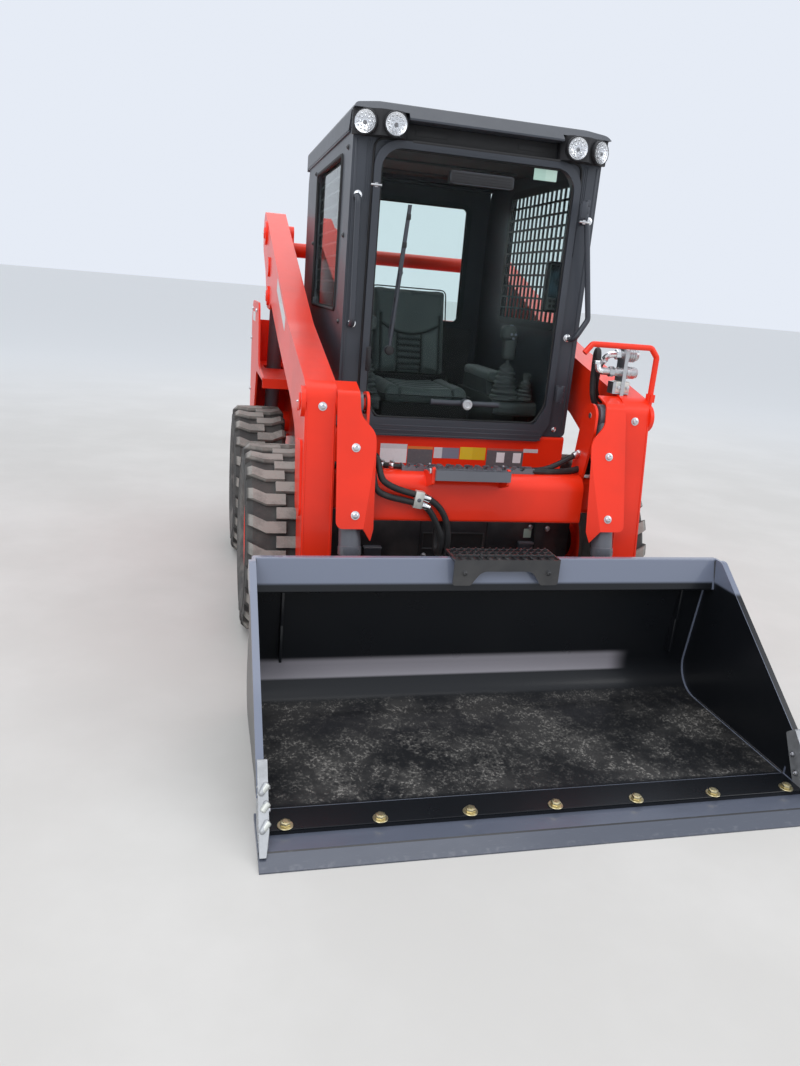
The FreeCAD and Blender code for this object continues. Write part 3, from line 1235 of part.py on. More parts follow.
BOLT_PITCH = (BUCKET_WIDTH - 156) / (EDGE_BOLTS - 1)
BOLT_HOLE_R = 8.5
bolt_holes = [
    Part.makeCylinder(BOLT_HOLE_R, 80, V(BOLT_PITCH * (i - (EDGE_BOLTS - 1) / 2), bolt_y, -10), V(0, 0, 1))
    for i in range(EDGE_BOLTS)
]
bucket_shell = joined([shell, lip, cheek, mirrored(cheek), band, mirrored(band)] + runners)
bucket_shell = cut(bucket_shell, bolt_holes)
export("bucket_shell", bucket_shell)

edge_rows = [
    (FLOOR_FRONT + 100, 0, 0),
    (FLOOR_FRONT + 100, EDGE_T, 0),
    (FRONT_Y + 59, EDGE_T, 0),
    (FRONT_Y, 4, 0),
    (FRONT_Y, 0, 0),
]
edge = cut(slab_x(edge_rows, -BUCKET_X, BUCKET_X), bolt_holes)
export("cutting_edge", edge)

# side cutters: castings over the cheeks' front corners, with slanting ribs and a row of studs
CUTTER_X = BUCKET_X - 30
CUTTER_SKIN = 3.0
CUTTER_NOSE = V(0, FLOOR_FRONT - 89, EDGE_T + SEAT)
CUTTER_TOP = V(0, FLOOR_FRONT + 88, EDGE_T + 179)
cutter_rows = [
    (CUTTER_NOSE.y, CUTTER_NOSE.z, 0),
    (CUTTER_TOP.y, CUTTER_TOP.z, 8),
    (FLOOR_FRONT + 121, EDGE_T + 150, 8),
    (FLOOR_FRONT + 41, EDGE_T + SEAT, 0),
]
cutter_plan = [
    (BUCKET_X - CUTTER_SKIN, CUTTER_NOSE.y - 1, 0),
    (BUCKET_X - CUTTER_SKIN, CUTTER_TOP.y + 50, 0),
    (CUTTER_X, CUTTER_TOP.y + 50, 0),
    (CUTTER_X, CUTTER_NOSE.y + 46, 20),
    (CUTTER_X + 10, CUTTER_NOSE.y - 1, 0),
]
cutter_up = (CUTTER_TOP - CUTTER_NOSE).normalize()


def cutter_at(x, run, back=0.0):
    """Point on the cutter's sloping face, a run above its nose."""
    return CUTTER_NOSE + cutter_up * run + V(x, back * cutter_up.z, -back * cutter_up.y)


cutter_shapes = [
    slab_x(cutter_rows, CUTTER_X - 1, BUCKET_X).common(slab_z(cutter_plan, 0, CUTTER_TOP.z + 10)),
]
RIB_R = 9.0
for i in range(3):
    run = 66 + 48 * i
    outer = cutter_at(BUCKET_X - CUTTER_SKIN - RIB_R, run, 2)
    inner = cutter_at(CUTTER_X + RIB_R - 3, run + 20, 2)
    cutter_shapes += [bar(outer, inner, RIB_R), Part.makeSphere(RIB_R, inner), Part.makeSphere(RIB_R, outer)]
STUD_R = 4.0
for i in range(8):
    cutter_shapes.append(Part.makeSphere(STUD_R, cutter_at(BUCKET_X - STUD_R, 40 + 20 * i, 9)))
cutter = cut(joined(cutter_shapes), [band, cheek, shell])
export("side_cutters", both(cutter))

# coupler between boom and bucket
COUPLER_T = 16.0
COUPLER_X = ARM_OUT + RUN + 10
PLATE_Z0, PLATE_Z1 = EDGE_T + HEEL_R + 4, 470.0
plate_rows = [
    (back_y(PLATE_Z0), PLATE_Z0, 0),
    (back_y(PLATE_Z1), PLATE_Z1, 0),
    (back_y(PLATE_Z1) + COUPLER_T, PLATE_Z1, 0),
    (back_y(PLATE_Z0) + COUPLER_T, PLATE_Z0, 0),
]
NOTCH_Z = TILT_FOOT[1] + 42
notch_x = (TILT_X - TILT_BARREL - RUN, TILT_X + TILT_BARREL + RUN)
plate_cuts = [slab_y(rect(x, x + 300, 210, 400, 20), BACK_LOW_Y - 151, BACK_LOW_Y + 149) for x in (-370, 70)]
for x0, x1 in (notch_x, (-notch_x[1], -notch_x[0])):
    plate_cuts.append(box(x0, x1, BACK_LOW_Y - 151, BACK_LOW_Y + 149, NOTCH_Z, PLATE_Z1 + 10))
coupler_plate = cut(slab_x(plate_rows, -COUPLER_X, COUPLER_X), plate_cuts)
pin_ear_rows = [
    (back_y(150) + 4, 150, 0),
    (HINGE_PIN[0] + 54, HINGE_PIN[1] - 54, 52),
    (HINGE_PIN[0] + 54, HINGE_PIN[1] + 54, 52),
    (back_y(330) + 4, 330, 0),
]
rod_ear_rows = [
    (back_y(220) + 4, 220, 0),
    (TILT_FOOT[0] + 42, TILT_FOOT[1] - 42, 38),
    (TILT_FOOT[0] + 42, TILT_FOOT[1] + 44, 38),
    (back_y(430) + 4, 430, 0),
]
EAR = 10.0
ears = [
    slab_x(rod_ear_rows, notch_x[0] - EAR, notch_x[0]),
    slab_x(rod_ear_rows, notch_x[1], notch_x[1] + EAR),
    slab_x(pin_ear_rows, ARM_IN - RUN - EAR, ARM_IN - RUN),
    slab_x(pin_ear_rows, ARM_OUT + RUN, ARM_OUT + RUN + EAR),
    round_x(HINGE_PIN, PIN_RADIUS, ARM_IN - RUN - EAR - 8, ARM_OUT + RUN + EAR + 8),
    round_x(TILT_FOOT, 30, notch_x[0] - EAR - 10, notch_x[0] - EAR + 1),
]
ears_half = joined(ears)
RAIL = 30.0
RAIL_X = COUPLER_X - 20
top_rail_cuts = [
    box(x0, x1, BACK_LOW_Y - 151, BACK_LOW_Y + 149, NOTCH_Z, PLATE_Z1 + 10)
    for x0, x1 in (
        (notch_x[0] - 30, notch_x[1] + EAR),
        (-notch_x[1] - EAR, -notch_x[0] + 30),
    )
]
top_y, foot_y = back_y(PLATE_Z1 - RAIL), back_y(PLATE_Z0)
top_rail = box(-RAIL_X, RAIL_X, top_y, back_y(PLATE_Z1) + 48, PLATE_Z1 - RAIL, PLATE_Z1)
foot_rail = box(-RAIL_X, RAIL_X, foot_y + 6, foot_y + 56, PLATE_Z0, PLATE_Z0 + RAIL)
rails = [cut(top_rail, top_rail_cuts), foot_rail]
coupler = joined([coupler_plate, ears_half, mirrored(ears_half)] + rails)
export("bucket_coupler", coupler)

# step on the bucket's top edge
STEP_FRONT = back_y(BUCKET_TOP) - 66
STEP_BACK = back_y(BUCKET_TOP) + 52
deck = tread(-184, 200, STEP_FRONT, STEP_BACK, BUCKET_TOP + SEAT, BUCKET_TOP + 10, 32)
face = slab_y([
    (-184, 495, 10),
    (-120, 495, 10),
    (-84, 545, 40),
    (100, 545, 40),
    (136, 495, 10),
    (200, 495, 10),
    (200, BUCKET_TOP + 8, 0),
    (-184, BUCKET_TOP + 8, 0),
], STEP_FRONT, STEP_FRONT + 6)
rear_lip = box(-184, 200, STEP_BACK - 8, STEP_BACK, BUCKET_TOP - 40, BUCKET_TOP + 9)
export("bucket_step", joined([deck, face, rear_lip]))
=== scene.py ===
import math
import random

import bmesh
import bpy
from mathutils import Matrix, Vector


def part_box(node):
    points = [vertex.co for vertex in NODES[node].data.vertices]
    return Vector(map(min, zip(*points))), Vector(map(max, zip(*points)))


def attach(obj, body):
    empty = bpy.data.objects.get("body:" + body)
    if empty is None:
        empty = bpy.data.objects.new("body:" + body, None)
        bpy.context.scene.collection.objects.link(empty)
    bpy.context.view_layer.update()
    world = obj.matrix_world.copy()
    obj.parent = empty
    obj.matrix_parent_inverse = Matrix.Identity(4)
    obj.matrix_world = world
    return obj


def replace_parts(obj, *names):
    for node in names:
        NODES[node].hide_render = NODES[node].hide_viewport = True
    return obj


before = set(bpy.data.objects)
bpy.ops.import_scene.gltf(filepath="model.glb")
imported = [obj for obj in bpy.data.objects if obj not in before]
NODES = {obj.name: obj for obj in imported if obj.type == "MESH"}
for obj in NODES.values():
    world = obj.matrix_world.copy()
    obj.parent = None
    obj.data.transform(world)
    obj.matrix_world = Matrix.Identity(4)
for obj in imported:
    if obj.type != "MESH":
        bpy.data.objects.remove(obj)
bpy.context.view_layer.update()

bl_info = {
    "name": "Compact loader dressing",
    "version": (1, 0, 0),
    "blender": (4, 5, 0),
    "location": "3D View > Sidebar > Loader",
    "description": "Finishes, soft parts, fittings and studio for a compact wheeled loader",
    "category": "Object",
}

SIDES = (1, -1)

# planes and edges of the CAD, in metres
ARM_IN, ARM_OUT = 0.555, 0.665
CAB_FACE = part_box("cab_frame")[0].y
CAB_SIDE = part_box("cab_sides")[1].x
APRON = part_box("front_apron")
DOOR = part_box("front_door")
GLASS_Y = CAB_FACE - 0.0053
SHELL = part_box("bucket_shell")
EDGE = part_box("cutting_edge")
REAR_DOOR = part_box("rear_door")
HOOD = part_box("hood")
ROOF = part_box("cab_roof")
DOOR_RING_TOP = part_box("front_door")[1].z
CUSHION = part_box("seat_cushion")
BACK_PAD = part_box("seat_back")
TILT_TOP = Vector((0.495, -0.585, 1.036))
TILT_FOOT = Vector((0.495, -0.781, 0.343))
LIFT_FOOT = Vector((0.610, 1.389, 0.640))
LIFT_HEAD = Vector((0.610, 1.139, 1.500))
WHEELS = {
    "front_left": (0.713, -0.111),
    "front_right": (-0.713, -0.111),
    "rear_left": (0.713, 0.949),
    "rear_right": (-0.713, 0.949),
}
AXLE_Z = 0.392
EYE = Vector((-1.0257, -3.4565, 1.4306))
EYE_RIGHT = Vector((0.9702, -0.2283, 0.0813))
EYE_UP = Vector((-0.0109, 0.2940, 0.9557))


class LoaderColours(bpy.types.PropertyGroup):
    red: bpy.props.FloatVectorProperty(
        name="Body red", description="Paint of the boom, frame and hood",
        default=(0.95, 0.032, 0.005), size=3, min=0.0, max=1.0, subtype="COLOR")
    charcoal: bpy.props.FloatVectorProperty(
        name="Cab charcoal", description="Paint of the cab and the cylinders",
        default=(0.044, 0.050, 0.062), size=3, min=0.0, max=1.0, subtype="COLOR")
    bucket: bpy.props.FloatVectorProperty(
        name="Bucket black", description="Gloss paint of the bucket",
        default=(0.007, 0.008, 0.010), size=3, min=0.0, max=1.0, subtype="COLOR")
    # Edge slate: on the bucket's lip and side bands this tone is painted sky reflection; darkened, it is the edge
    # plate's own paint.
    slate: bpy.props.FloatVectorProperty(
        name="Edge slate", description="Tone of the bucket's lip, bands and edge plate",
        default=(0.172, 0.196, 0.262), size=3, min=0.0, max=1.0, subtype="COLOR")
    dust: bpy.props.FloatVectorProperty(
        name="Road dust", description="Dry dust on tyres, floor plates and low panels",
        default=(0.34, 0.32, 0.29), size=3, min=0.0, max=1.0, subtype="COLOR")
    wear: bpy.props.FloatProperty(
        name="Wear", description="How much dust and scuffing shows",
        default=1.0, min=0.0, max=2.0, subtype="FACTOR")


class LoaderSizes(bpy.types.PropertyGroup):
    edge_bolt: bpy.props.FloatProperty(
        name="Edge bolt", description="Width across the flats of the cutting edge's bolt heads",
        default=0.026, min=0.01, max=0.05, unit="LENGTH")
    guard_bolt: bpy.props.FloatProperty(
        name="Guard bolt", description="Diameter of the domed bolts on guards and pillars",
        default=0.023, min=0.01, max=0.05, unit="LENGTH")
    weld: bpy.props.FloatProperty(
        name="Weld", description="Radius of the weld beads",
        default=0.0035, min=0.001, max=0.01, unit="LENGTH")
    clamp: bpy.props.FloatProperty(
        name="Hose clamp", description="Height of the clamp over the two front hoses",
        default=0.064, min=0.02, max=0.09, unit="LENGTH")
    seam: bpy.props.FloatProperty(
        name="Seat seam", description="Depth of the sewn channels in the seat",
        default=0.011, min=0.0, max=0.02, unit="LENGTH")
    swell: bpy.props.FloatProperty(
        name="Seat swell", description="Most that a point of the padding moves outwards",
        default=0.010, min=0.0, max=0.03, unit="LENGTH")


# shader maths
class Signal:
    """A shader socket that takes part in Python arithmetic."""

    def __init__(self, recipe, socket):
        self.recipe = recipe
        self.socket = socket

    def _with(self, operation, first, second):
        return self.recipe.node("ShaderNodeMath", {"operation": operation}, {0: first, 1: second})

    def __add__(self, other):
        return self._with("ADD", self, other)

    __radd__ = __add__

    def __sub__(self, other):
        return self._with("SUBTRACT", self, other)

    def __rsub__(self, other):
        return self._with("SUBTRACT", other, self)

    def __mul__(self, other):
        return self._with("MULTIPLY", self, other)

    __rmul__ = __mul__

    def __truediv__(self, other):
        return self._with("DIVIDE", self, other)

    def __pow__(self, other):
        return self._with("POWER", self, other)

    def most(self, other):
        return self._with("MAXIMUM", self, other)

    def wave(self):
        return self.recipe.node("ShaderNodeMath", {"operation": "SINE"}, {0: self})

    def above(self, edge, width):
        """0 below edge, 1 above edge + width, and smooth between."""
        settings = {"interpolation_type": "SMOOTHSTEP"}
        return self.recipe.node("ShaderNodeMapRange", settings, {"Value": self, 1: edge, 2: edge + width})

    def below(self, edge, width):
        return 1.0 - self.above(edge, width)

    def clamped(self):
        return self.recipe.node("ShaderNodeClamp", {}, {"Value": self})


class Recipe:
    """One material's node tree round a single Principled shader."""

    def __init__(self, name, **constants):
        self.material = bpy.data.materials.new(name)
        self.material.use_nodes = True
        self.tree = self.material.node_tree
        self.shader = next(n for n in self.tree.nodes if n.type == "BSDF_PRINCIPLED")
        self.coordinates = self.tree.nodes.new("ShaderNodeTexCoord")
        for key, value in constants.items():
            self.feed(self.shader.inputs[key.replace("_", " ")], value)

    def feed(self, socket, value):
        if isinstance(value, Signal):
            self.tree.links.new(value.socket, socket)
        elif hasattr(socket.default_value, "__len__") and len(socket.default_value) == 4:
            socket.default_value = (*tuple(value)[:3], 1.0)
        else:
            socket.default_value = value

    def node(self, kind, settings=None, inputs=None, output=0):
        made = self.tree.nodes.new(kind)
        for key, value in (settings or {}).items():
            setattr(made, key, value)
        for key, value in (inputs or {}).items():
            self.feed(made.inputs[key], value)
        return Signal(self, made.outputs[output])

    def object_point(self):
        return Signal(self, self.coordinates.outputs["Object"])

    def stretched(self, scale, point=None):
        """Coordinates scaled by a different amount along each axis."""
        return self.node("ShaderNodeMapping", {}, {"Vector": point or self.object_point(), "Scale": scale})

    def axis(self, name, point=None):
        parts = self.node("ShaderNodeSeparateXYZ", {}, {0: point or self.object_point()})
        return Signal(self, parts.socket.node.outputs[name])

    def reach(self, middle, letters):
        """Distance from a point, along the named axes only."""
        total = None
        for letter, at in zip(letters, middle):
            step = self.axis(letter) - at
            total = step * step if total is None else total + step * step
        return total ** 0.5

    def facing_up(self):
        """1 on level surfaces that face up, 0 on walls and undersides."""
        normal = self.node("ShaderNodeNewGeometry", {}, {}, "Normal")
        return self.axis("Z", normal).above(0.55, 0.4)

    def turned_to(self, letter):
        """1 where a face looks along an axis, either way."""
        normal = self.node("ShaderNodeNewGeometry", {}, {}, "Normal")
        slope = self.axis(letter, normal)
        return (slope * slope).above(0.4, 0.2)

    def noise(self, scale, detail=3.0, roughness=0.5, point=None):
        inputs = {"Vector": point or self.object_point(), "Scale": scale, "Detail": detail, "Roughness": roughness}
        return self.node("ShaderNodeTexNoise", {}, inputs)

    def cells(self, scale, feature="F1", point=None):
        inputs = {"Vector": point or self.object_point(), "Scale": scale}
        return self.node("ShaderNodeTexVoronoi", {"feature": feature}, inputs)

    def blend(self, first, second, factor):
        """first where factor is 0, second where it is 1."""
        return self.node("ShaderNodeMix", {"data_type": "RGBA"}, {0: factor, 6: first, 7: second}, 2)

    def bump(self, height, strength, distance):
        inputs = {"Height": height, "Strength": strength, "Distance": distance}
        self.feed(self.shader.inputs["Normal"], self.node("ShaderNodeBump", {}, inputs))

    def colour(self, value):
        self.feed(self.shader.inputs["Base Color"], value)

    def roughness(self, value):
        self.feed(self.shader.inputs["Roughness"], value)


def darker(colour, share):
    return tuple(c * share for c in colour)


# finishes
def painted(name, base, dust, rough=0.3, coat=0.25, soil=0.3, grain=380.0, low=0.9, **constants):
    """Sprayed paint: faint mottling, orange peel, and dust on low and level places."""
    made = Recipe(name, Coat_Weight=coat, Coat_Roughness=0.07, **constants)
    tone = made.blend(base, darker(base, 0.84), made.noise(2.4, 4.0).above(0.42, 0.3))
    depth = made.axis("Z").below(0.1, low)
    cloud = made.noise(6.5, 6.0, 0.62).above(0.42, 0.32)
    settled = ((depth * 0.85 + made.facing_up() * 0.3) * cloud * soil).clamped()
    made.colour(made.blend(tone, dust, settled))
    made.roughness(rough + made.noise(30.0, 3.0) * 0.07 + settled * 0.5)
    made.bump(made.noise(grain, 1.0) + settled * 0.6, 0.12, 0.0003)
    return made.material


def bucket_paint(name, base, slate, dust, wear):
    """Gloss black, with slate on the lip and the side bands as painted sky reflection, a painted highlight band on the
    heel and a painted highlight line on the wear strip's rear edge, and faint tread prints on the floor inside.
    """
    made = Recipe(name, Coat_IOR=1.6, Coat_Roughness=0.09, Specular_IOR_Level=0.35)
    # The slate tone on the lip, the near side bands and the far band is painted sky reflection.
    lip = made.axis("Z").above(0.488, 0.012)
    across = made.axis("X")
    outer = 1.0 - made.turned_to("X")
    bands = (0.0 - across).above(0.836, 0.004) * outer
    far_band_reflection = across.above(0.833, 0.002) * across.below(0.8430, 0.002) * outer
    # painted highlight: a pale grey band low on the back, where the floor curves up into it
    painted_heel_highlight = made.axis("Z").above(0.104, 0.010) * made.axis("Z").below(0.168, 0.026) * made.axis("Y").above(-1.06, 0.07)
    normal = made.node("ShaderNodeNewGeometry", {}, {}, "Normal")
    painted_heel_highlight = painted_heel_highlight * across.below(0.50, 0.10) * made.axis("Y", normal).below(-0.15, 0.1)
    # painted highlight: a light line along the wear strip's rear edge
    strip_edge_highlight = made.axis("Y").above(-1.5065, 0.001) * made.axis("Y").below(-1.4985, 0.001) * made.axis("Z").below(0.05, 0.01)
    floor = made.axis("Z").below(0.034, 0.02) * made.axis("Y").above(-1.50, 0.03) * made.facing_up()
    fine = made.noise(120.0, 5.0, 0.75).above(0.50, 0.10)
    cloud = made.noise(3.4, 5.0, 0.62).above(0.40, 0.22)
    grit = fine * made.noise(26.0, 5.0, 0.65).above(0.44, 0.14)
    crumbs = made.noise(62.0, 3.0, 0.6).above(0.66, 0.03) * 0.5
    lugs = made.cells(46.0, "DISTANCE_TO_EDGE").below(0.10, 0.10)
    soles = None
    for x, y, turn in ((-0.62, -1.36, 0.3), (-0.42, -1.42, -0.5), (-0.30, -1.24, 0.8), (-0.12, -1.33, -0.2), (0.24, -1.22, 0.5)):
        spot = made.node("ShaderNodeMapping", {"vector_type": "TEXTURE"}, {
            "Vector": made.object_point(), "Location": (x, y, 0.0), "Rotation": (0.0, 0.0, turn)})
        along, wide = made.axis("Y", spot), made.axis("X", spot)
        inside = (along * along * 62.0 + wide * wide * 400.0).below(0.80, 0.30)
        bars = (along * 190.0 + (wide * 60.0).wave() * 1.2 + made.noise(30.0, 3.0) * 2.0).wave().above(0.2, 0.6)
        sole = inside * (bars * 0.35 + lugs * 0.75)
        soles = sole if soles is None else soles.most(sole)
    patchy = made.noise(15.0, 4.0).above(0.40, 0.2)
    trodden = floor * (soles * patchy * (0.14 + fine * 0.40) + cloud * (0.13 + grit * 0.66 + crumbs) + grit * 0.20 + 0.03) * wear
    scratch = made.noise(90.0, 2.0, 0.5, made.stretched((0.25, 6.0, 6.0))).above(0.70, 0.05) * floor * 0.12
    shown = (trodden + scratch).clamped()
    sky_reflection_bands = lip.most(bands)
    # painted reflection: slate over the lip and the side bands
    tone = made.blend(base, slate, sky_reflection_bands)
    # painted highlight on the heel, kept off the reflection bands
    tone = made.blend(tone, (0.36, 0.34, 0.37), painted_heel_highlight * (1.0 - sky_reflection_bands) * 0.85)
    # painted reflection on the far band and painted highlight on the wear strip's rear edge
    tone = made.blend(tone, darker(slate, 0.9), (far_band_reflection + strip_edge_highlight * 0.7).clamped())
    made.colour(made.blend(tone, dust, shown * 0.70))
    made.roughness(0.26 + made.noise(7.0, 3.0) * 0.04 + shown * 0.6 + sky_reflection_bands * 0.08)
    made.feed(made.shader.inputs["Coat Weight"], sky_reflection_bands * 0.70 + 0.05)
    made.bump(shown, 0.10, 0.0004)
    return made.material


def edge_steel(name, base):
    """Painted steel plate, its front lip only lightly rubbed."""
    made = Recipe(name, Metallic=0.1, Coat_Weight=0.55, Coat_Roughness=0.16)
    lip = made.axis("Y").below(-1.714, 0.010) * made.noise(46.0, 5.0).above(0.5, 0.25) * 0.16
    streak = made.noise(55.0, 5.0, 0.6, made.stretched((0.5, 5.0, 5.0))).above(0.60, 0.2)
    shade = made.noise(5.0, 5.0, 0.6, made.stretched((1.0, 4.0, 4.0))).above(0.4, 0.35)
    slope = made.axis("Y").below(-1.6662, 0.001)
    fold = slope * made.axis("Y").above(-1.6718, 0.001)
    tone = made.blend(base, darker(base, 0.66), (shade * 0.35 + slope * 0.95).clamped())
    tone = made.blend(tone, (0.012, 0.012, 0.014), fold)
    made.colour(made.blend(tone, (0.36, 0.37, 0.39), (lip + streak * slope * 0.30).clamped()))
    made.roughness(0.30 + made.noise(24.0, 4.0) * 0.2)
    made.bump(made.noise(160.0, 4.0), 0.12, 0.0004)
    return made.material


def cast_metal(name, base, pits=1.0):
    made = Recipe(name, Metallic=0.75)
    stain = made.noise(26.0, 5.0).above(0.4, 0.4)
    made.colour(made.blend(base, darker(base, 0.62), stain * 0.7))
    made.roughness(0.42 + made.noise(60.0, 3.0) * 0.22)
    made.bump(made.noise(210.0, 5.0) + made.cells(320.0) * 0.4, 0.3 * pits, 0.0008)
    return made.material


def bright_metal(name, base, rough=0.22, brushed=(1.0, 1.0, 14.0)):
    made = Recipe(name, Metallic=1.0)
    lines = made.noise(70.0, 4.0, 0.6, made.stretched(brushed))
    made.colour(made.blend(base, darker(base, 0.8), lines.above(0.4, 0.35)))
    made.roughness(rough + lines * 0.12)
    made.bump(lines, 0.08, 0.0002)
    return made.material


def chrome_rod(name):
    """Hard chrome with an oil film and fine marks along the stroke."""
    made = Recipe(name, Metallic=1.0)
    film = made.noise(22.0, 4.0, 0.6, made.stretched((3.0, 3.0, 1.0)))
    made.colour(made.blend((0.80, 0.81, 0.83), (0.66, 0.66, 0.66), film.above(0.5, 0.3)))
    made.roughness(0.07 + film * 0.12)
    made.bump(made.noise(300.0, 2.0), 0.04, 0.0001)
    return made.material


def tyre_rubber(name, middle, dust, wear):
    """Black rubber with dry dust on the lugs and the shoulder, about one wheel's middle."""
    made = Recipe(name)
    out = made.reach((middle[1], AXLE_Z), "YZ")
    tops = out.above(0.371, 0.012)
    rim_side = out.below(0.262, 0.05)
    cloud = made.noise(11.0, 6.0, 0.62).above(0.36, 0.34)
    fine = made.noise(120.0, 4.0, 0.6)
    dusty = (tops * (0.66 + cloud * 0.45) + rim_side * cloud * 0.3 + cloud * 0.16 + 0.12 + tops * 0.10) * (0.7 + fine * 0.5) * wear
    made.colour(made.blend((0.021, 0.021, 0.022), dust, (dusty * 0.86).clamped()))
    made.roughness(0.74 + cloud * 0.16)
    rings = (out * 900.0).wave() * out.below(0.34, 0.01)
    made.bump(fine + rings * 0.25 + made.cells(260.0) * 0.3, 0.35, 0.0012)
    return made.material


def moulded(name, base, rough=0.5, grain=650.0, depth=0.0004):
    """Moulded plastic or rubber with a leather-like grain."""
    made = Recipe(name, Specular_IOR_Level=0.45)
    cloud = made.noise(8.0, 4.0).above(0.4, 0.35)
    made.colour(made.blend(base, darker(base, 1.5), cloud * 0.5))
    made.roughness(rough + made.noise(40.0, 3.0) * 0.12)
    made.bump(made.cells(grain, "DISTANCE_TO_EDGE").below(0.0, 0.12), 0.25, depth)
    return made.material


def seat_cloth(name, base):
    """Seat vinyl: fine crossed weave over soft mottling, with painted shade darkening the sewn channels."""
    made = Recipe(name, Sheen_Weight=0.25, Sheen_Roughness=0.5)
    cross = (made.axis("X") * 3600.0).wave() * (made.axis("Y") * 3600.0 + made.axis("Z") * 3600.0).wave()
    cloud = made.noise(9.0, 4.0).above(0.4, 0.4)
    crease = made.node("ShaderNodeAttribute", {"attribute_name": "crease"}, {}, 2).clamped()
    tone = made.blend(base, darker(base, 1.3), cloud * 0.6)
    # painted shade: the sewn channels darken with their depth
    made.colour(made.blend(tone, darker(base, 0.10), crease * 0.9))
    made.roughness(0.55 + crease * 0.3)
    made.bump(cross * 0.5 + made.noise(400.0, 2.0), 0.10, 0.0004)
    return made.material


def braided(name, base):
    """Hose cover: fine spiral lay in rubber, with a little dust."""
    made = Recipe(name, Specular_IOR_Level=0.4)
    lay = ((made.axis("X") + made.axis("Y")) * 1500.0 + made.axis("Z") * 2100.0).wave()
    cloud = made.noise(30.0, 4.0).above(0.5, 0.3)
    made.colour(made.blend(base, (0.10, 0.09, 0.08), cloud * 0.35))
    made.roughness(0.5 + cloud * 0.2)
    made.bump(lay, 0.25, 0.0006)
    return made.material


def pane(name, tint):
    """Safety glass with a light green tint and faint dust."""
    made = Recipe(name, Transmission_Weight=1.0, IOR=1.13, Specular_IOR_Level=0.5)
    haze = made.noise(5.0, 5.0, 0.6).above(0.52, 0.3)
    made.colour(made.blend(tint, darker(tint, 0.93), haze))
    made.roughness(haze * 0.001)
    return made.material


def lens(name, tint, ribs=240.0):
    """Moulded lamp lens with fine crossed ribs."""
    made = Recipe(name, Transmission_Weight=0.9, IOR=1.47)
    grid = (made.axis("X") * ribs * 6.28).wave() * (made.axis("Z") * ribs * 6.28).wave()
    made.colour(made.blend(tint, darker(tint, 0.9), made.noise(60.0)))
    made.roughness(0.05 + made.noise(80.0) * 0.05)
    made.bump(grid, 0.35, 0.0006)
    return made.material


def plate_print(name, base, second, letter, edge):
    """Blank sticker: a plain ground with a plain block of a second tone and no marks."""
    made = Recipe(name, Coat_Weight=0.35)
    block = made.axis(letter).above(edge, 0.0006)
    worn = made.noise(90.0, 4.0).above(0.45, 0.4) * 0.12
    made.colour(made.blend(made.blend(base, second, block), (0.45, 0.42, 0.38), worn))
    made.roughness(0.34 + made.noise(140.0) * 0.1)
    made.bump(made.noise(500.0, 2.0), 0.06, 0.0002)
    return made.material


def weld_metal(name, base):
    """Painted weld bead with close ripples."""
    made = Recipe(name, Coat_Weight=0.5, Coat_Roughness=0.1)
    ripple = ((made.axis("X") + made.axis("Y") + made.axis("Z")) * 1100.0).wave()
    made.colour(made.blend(base, darker(base, 0.8), made.noise(60.0)))
    made.roughness(0.34 + made.noise(90.0) * 0.1)
    made.bump(ripple + made.noise(300.0), 0.5, 0.0012)
    return made.material


def lit_screen(name):
    """Dark instrument glass with a faint backlit field."""
    made = Recipe(name, Coat_Weight=1.0, Emission_Strength=0.25)
    field = made.axis("Z").above(1.44, 0.004) * made.axis("Z").below(1.56, 0.004)
    glow = made.blend((0.0, 0.0, 0.0), (0.05, 0.09, 0.12), field * made.noise(40.0).above(0.3, 0.3))
    made.colour(made.blend((0.012, 0.013, 0.015), (0.02, 0.03, 0.035), field))
    made.feed(made.shader.inputs["Emission Color"], glow)
    made.roughness(0.08 + made.noise(50.0) * 0.05)
    return made.material


FINISH = {}


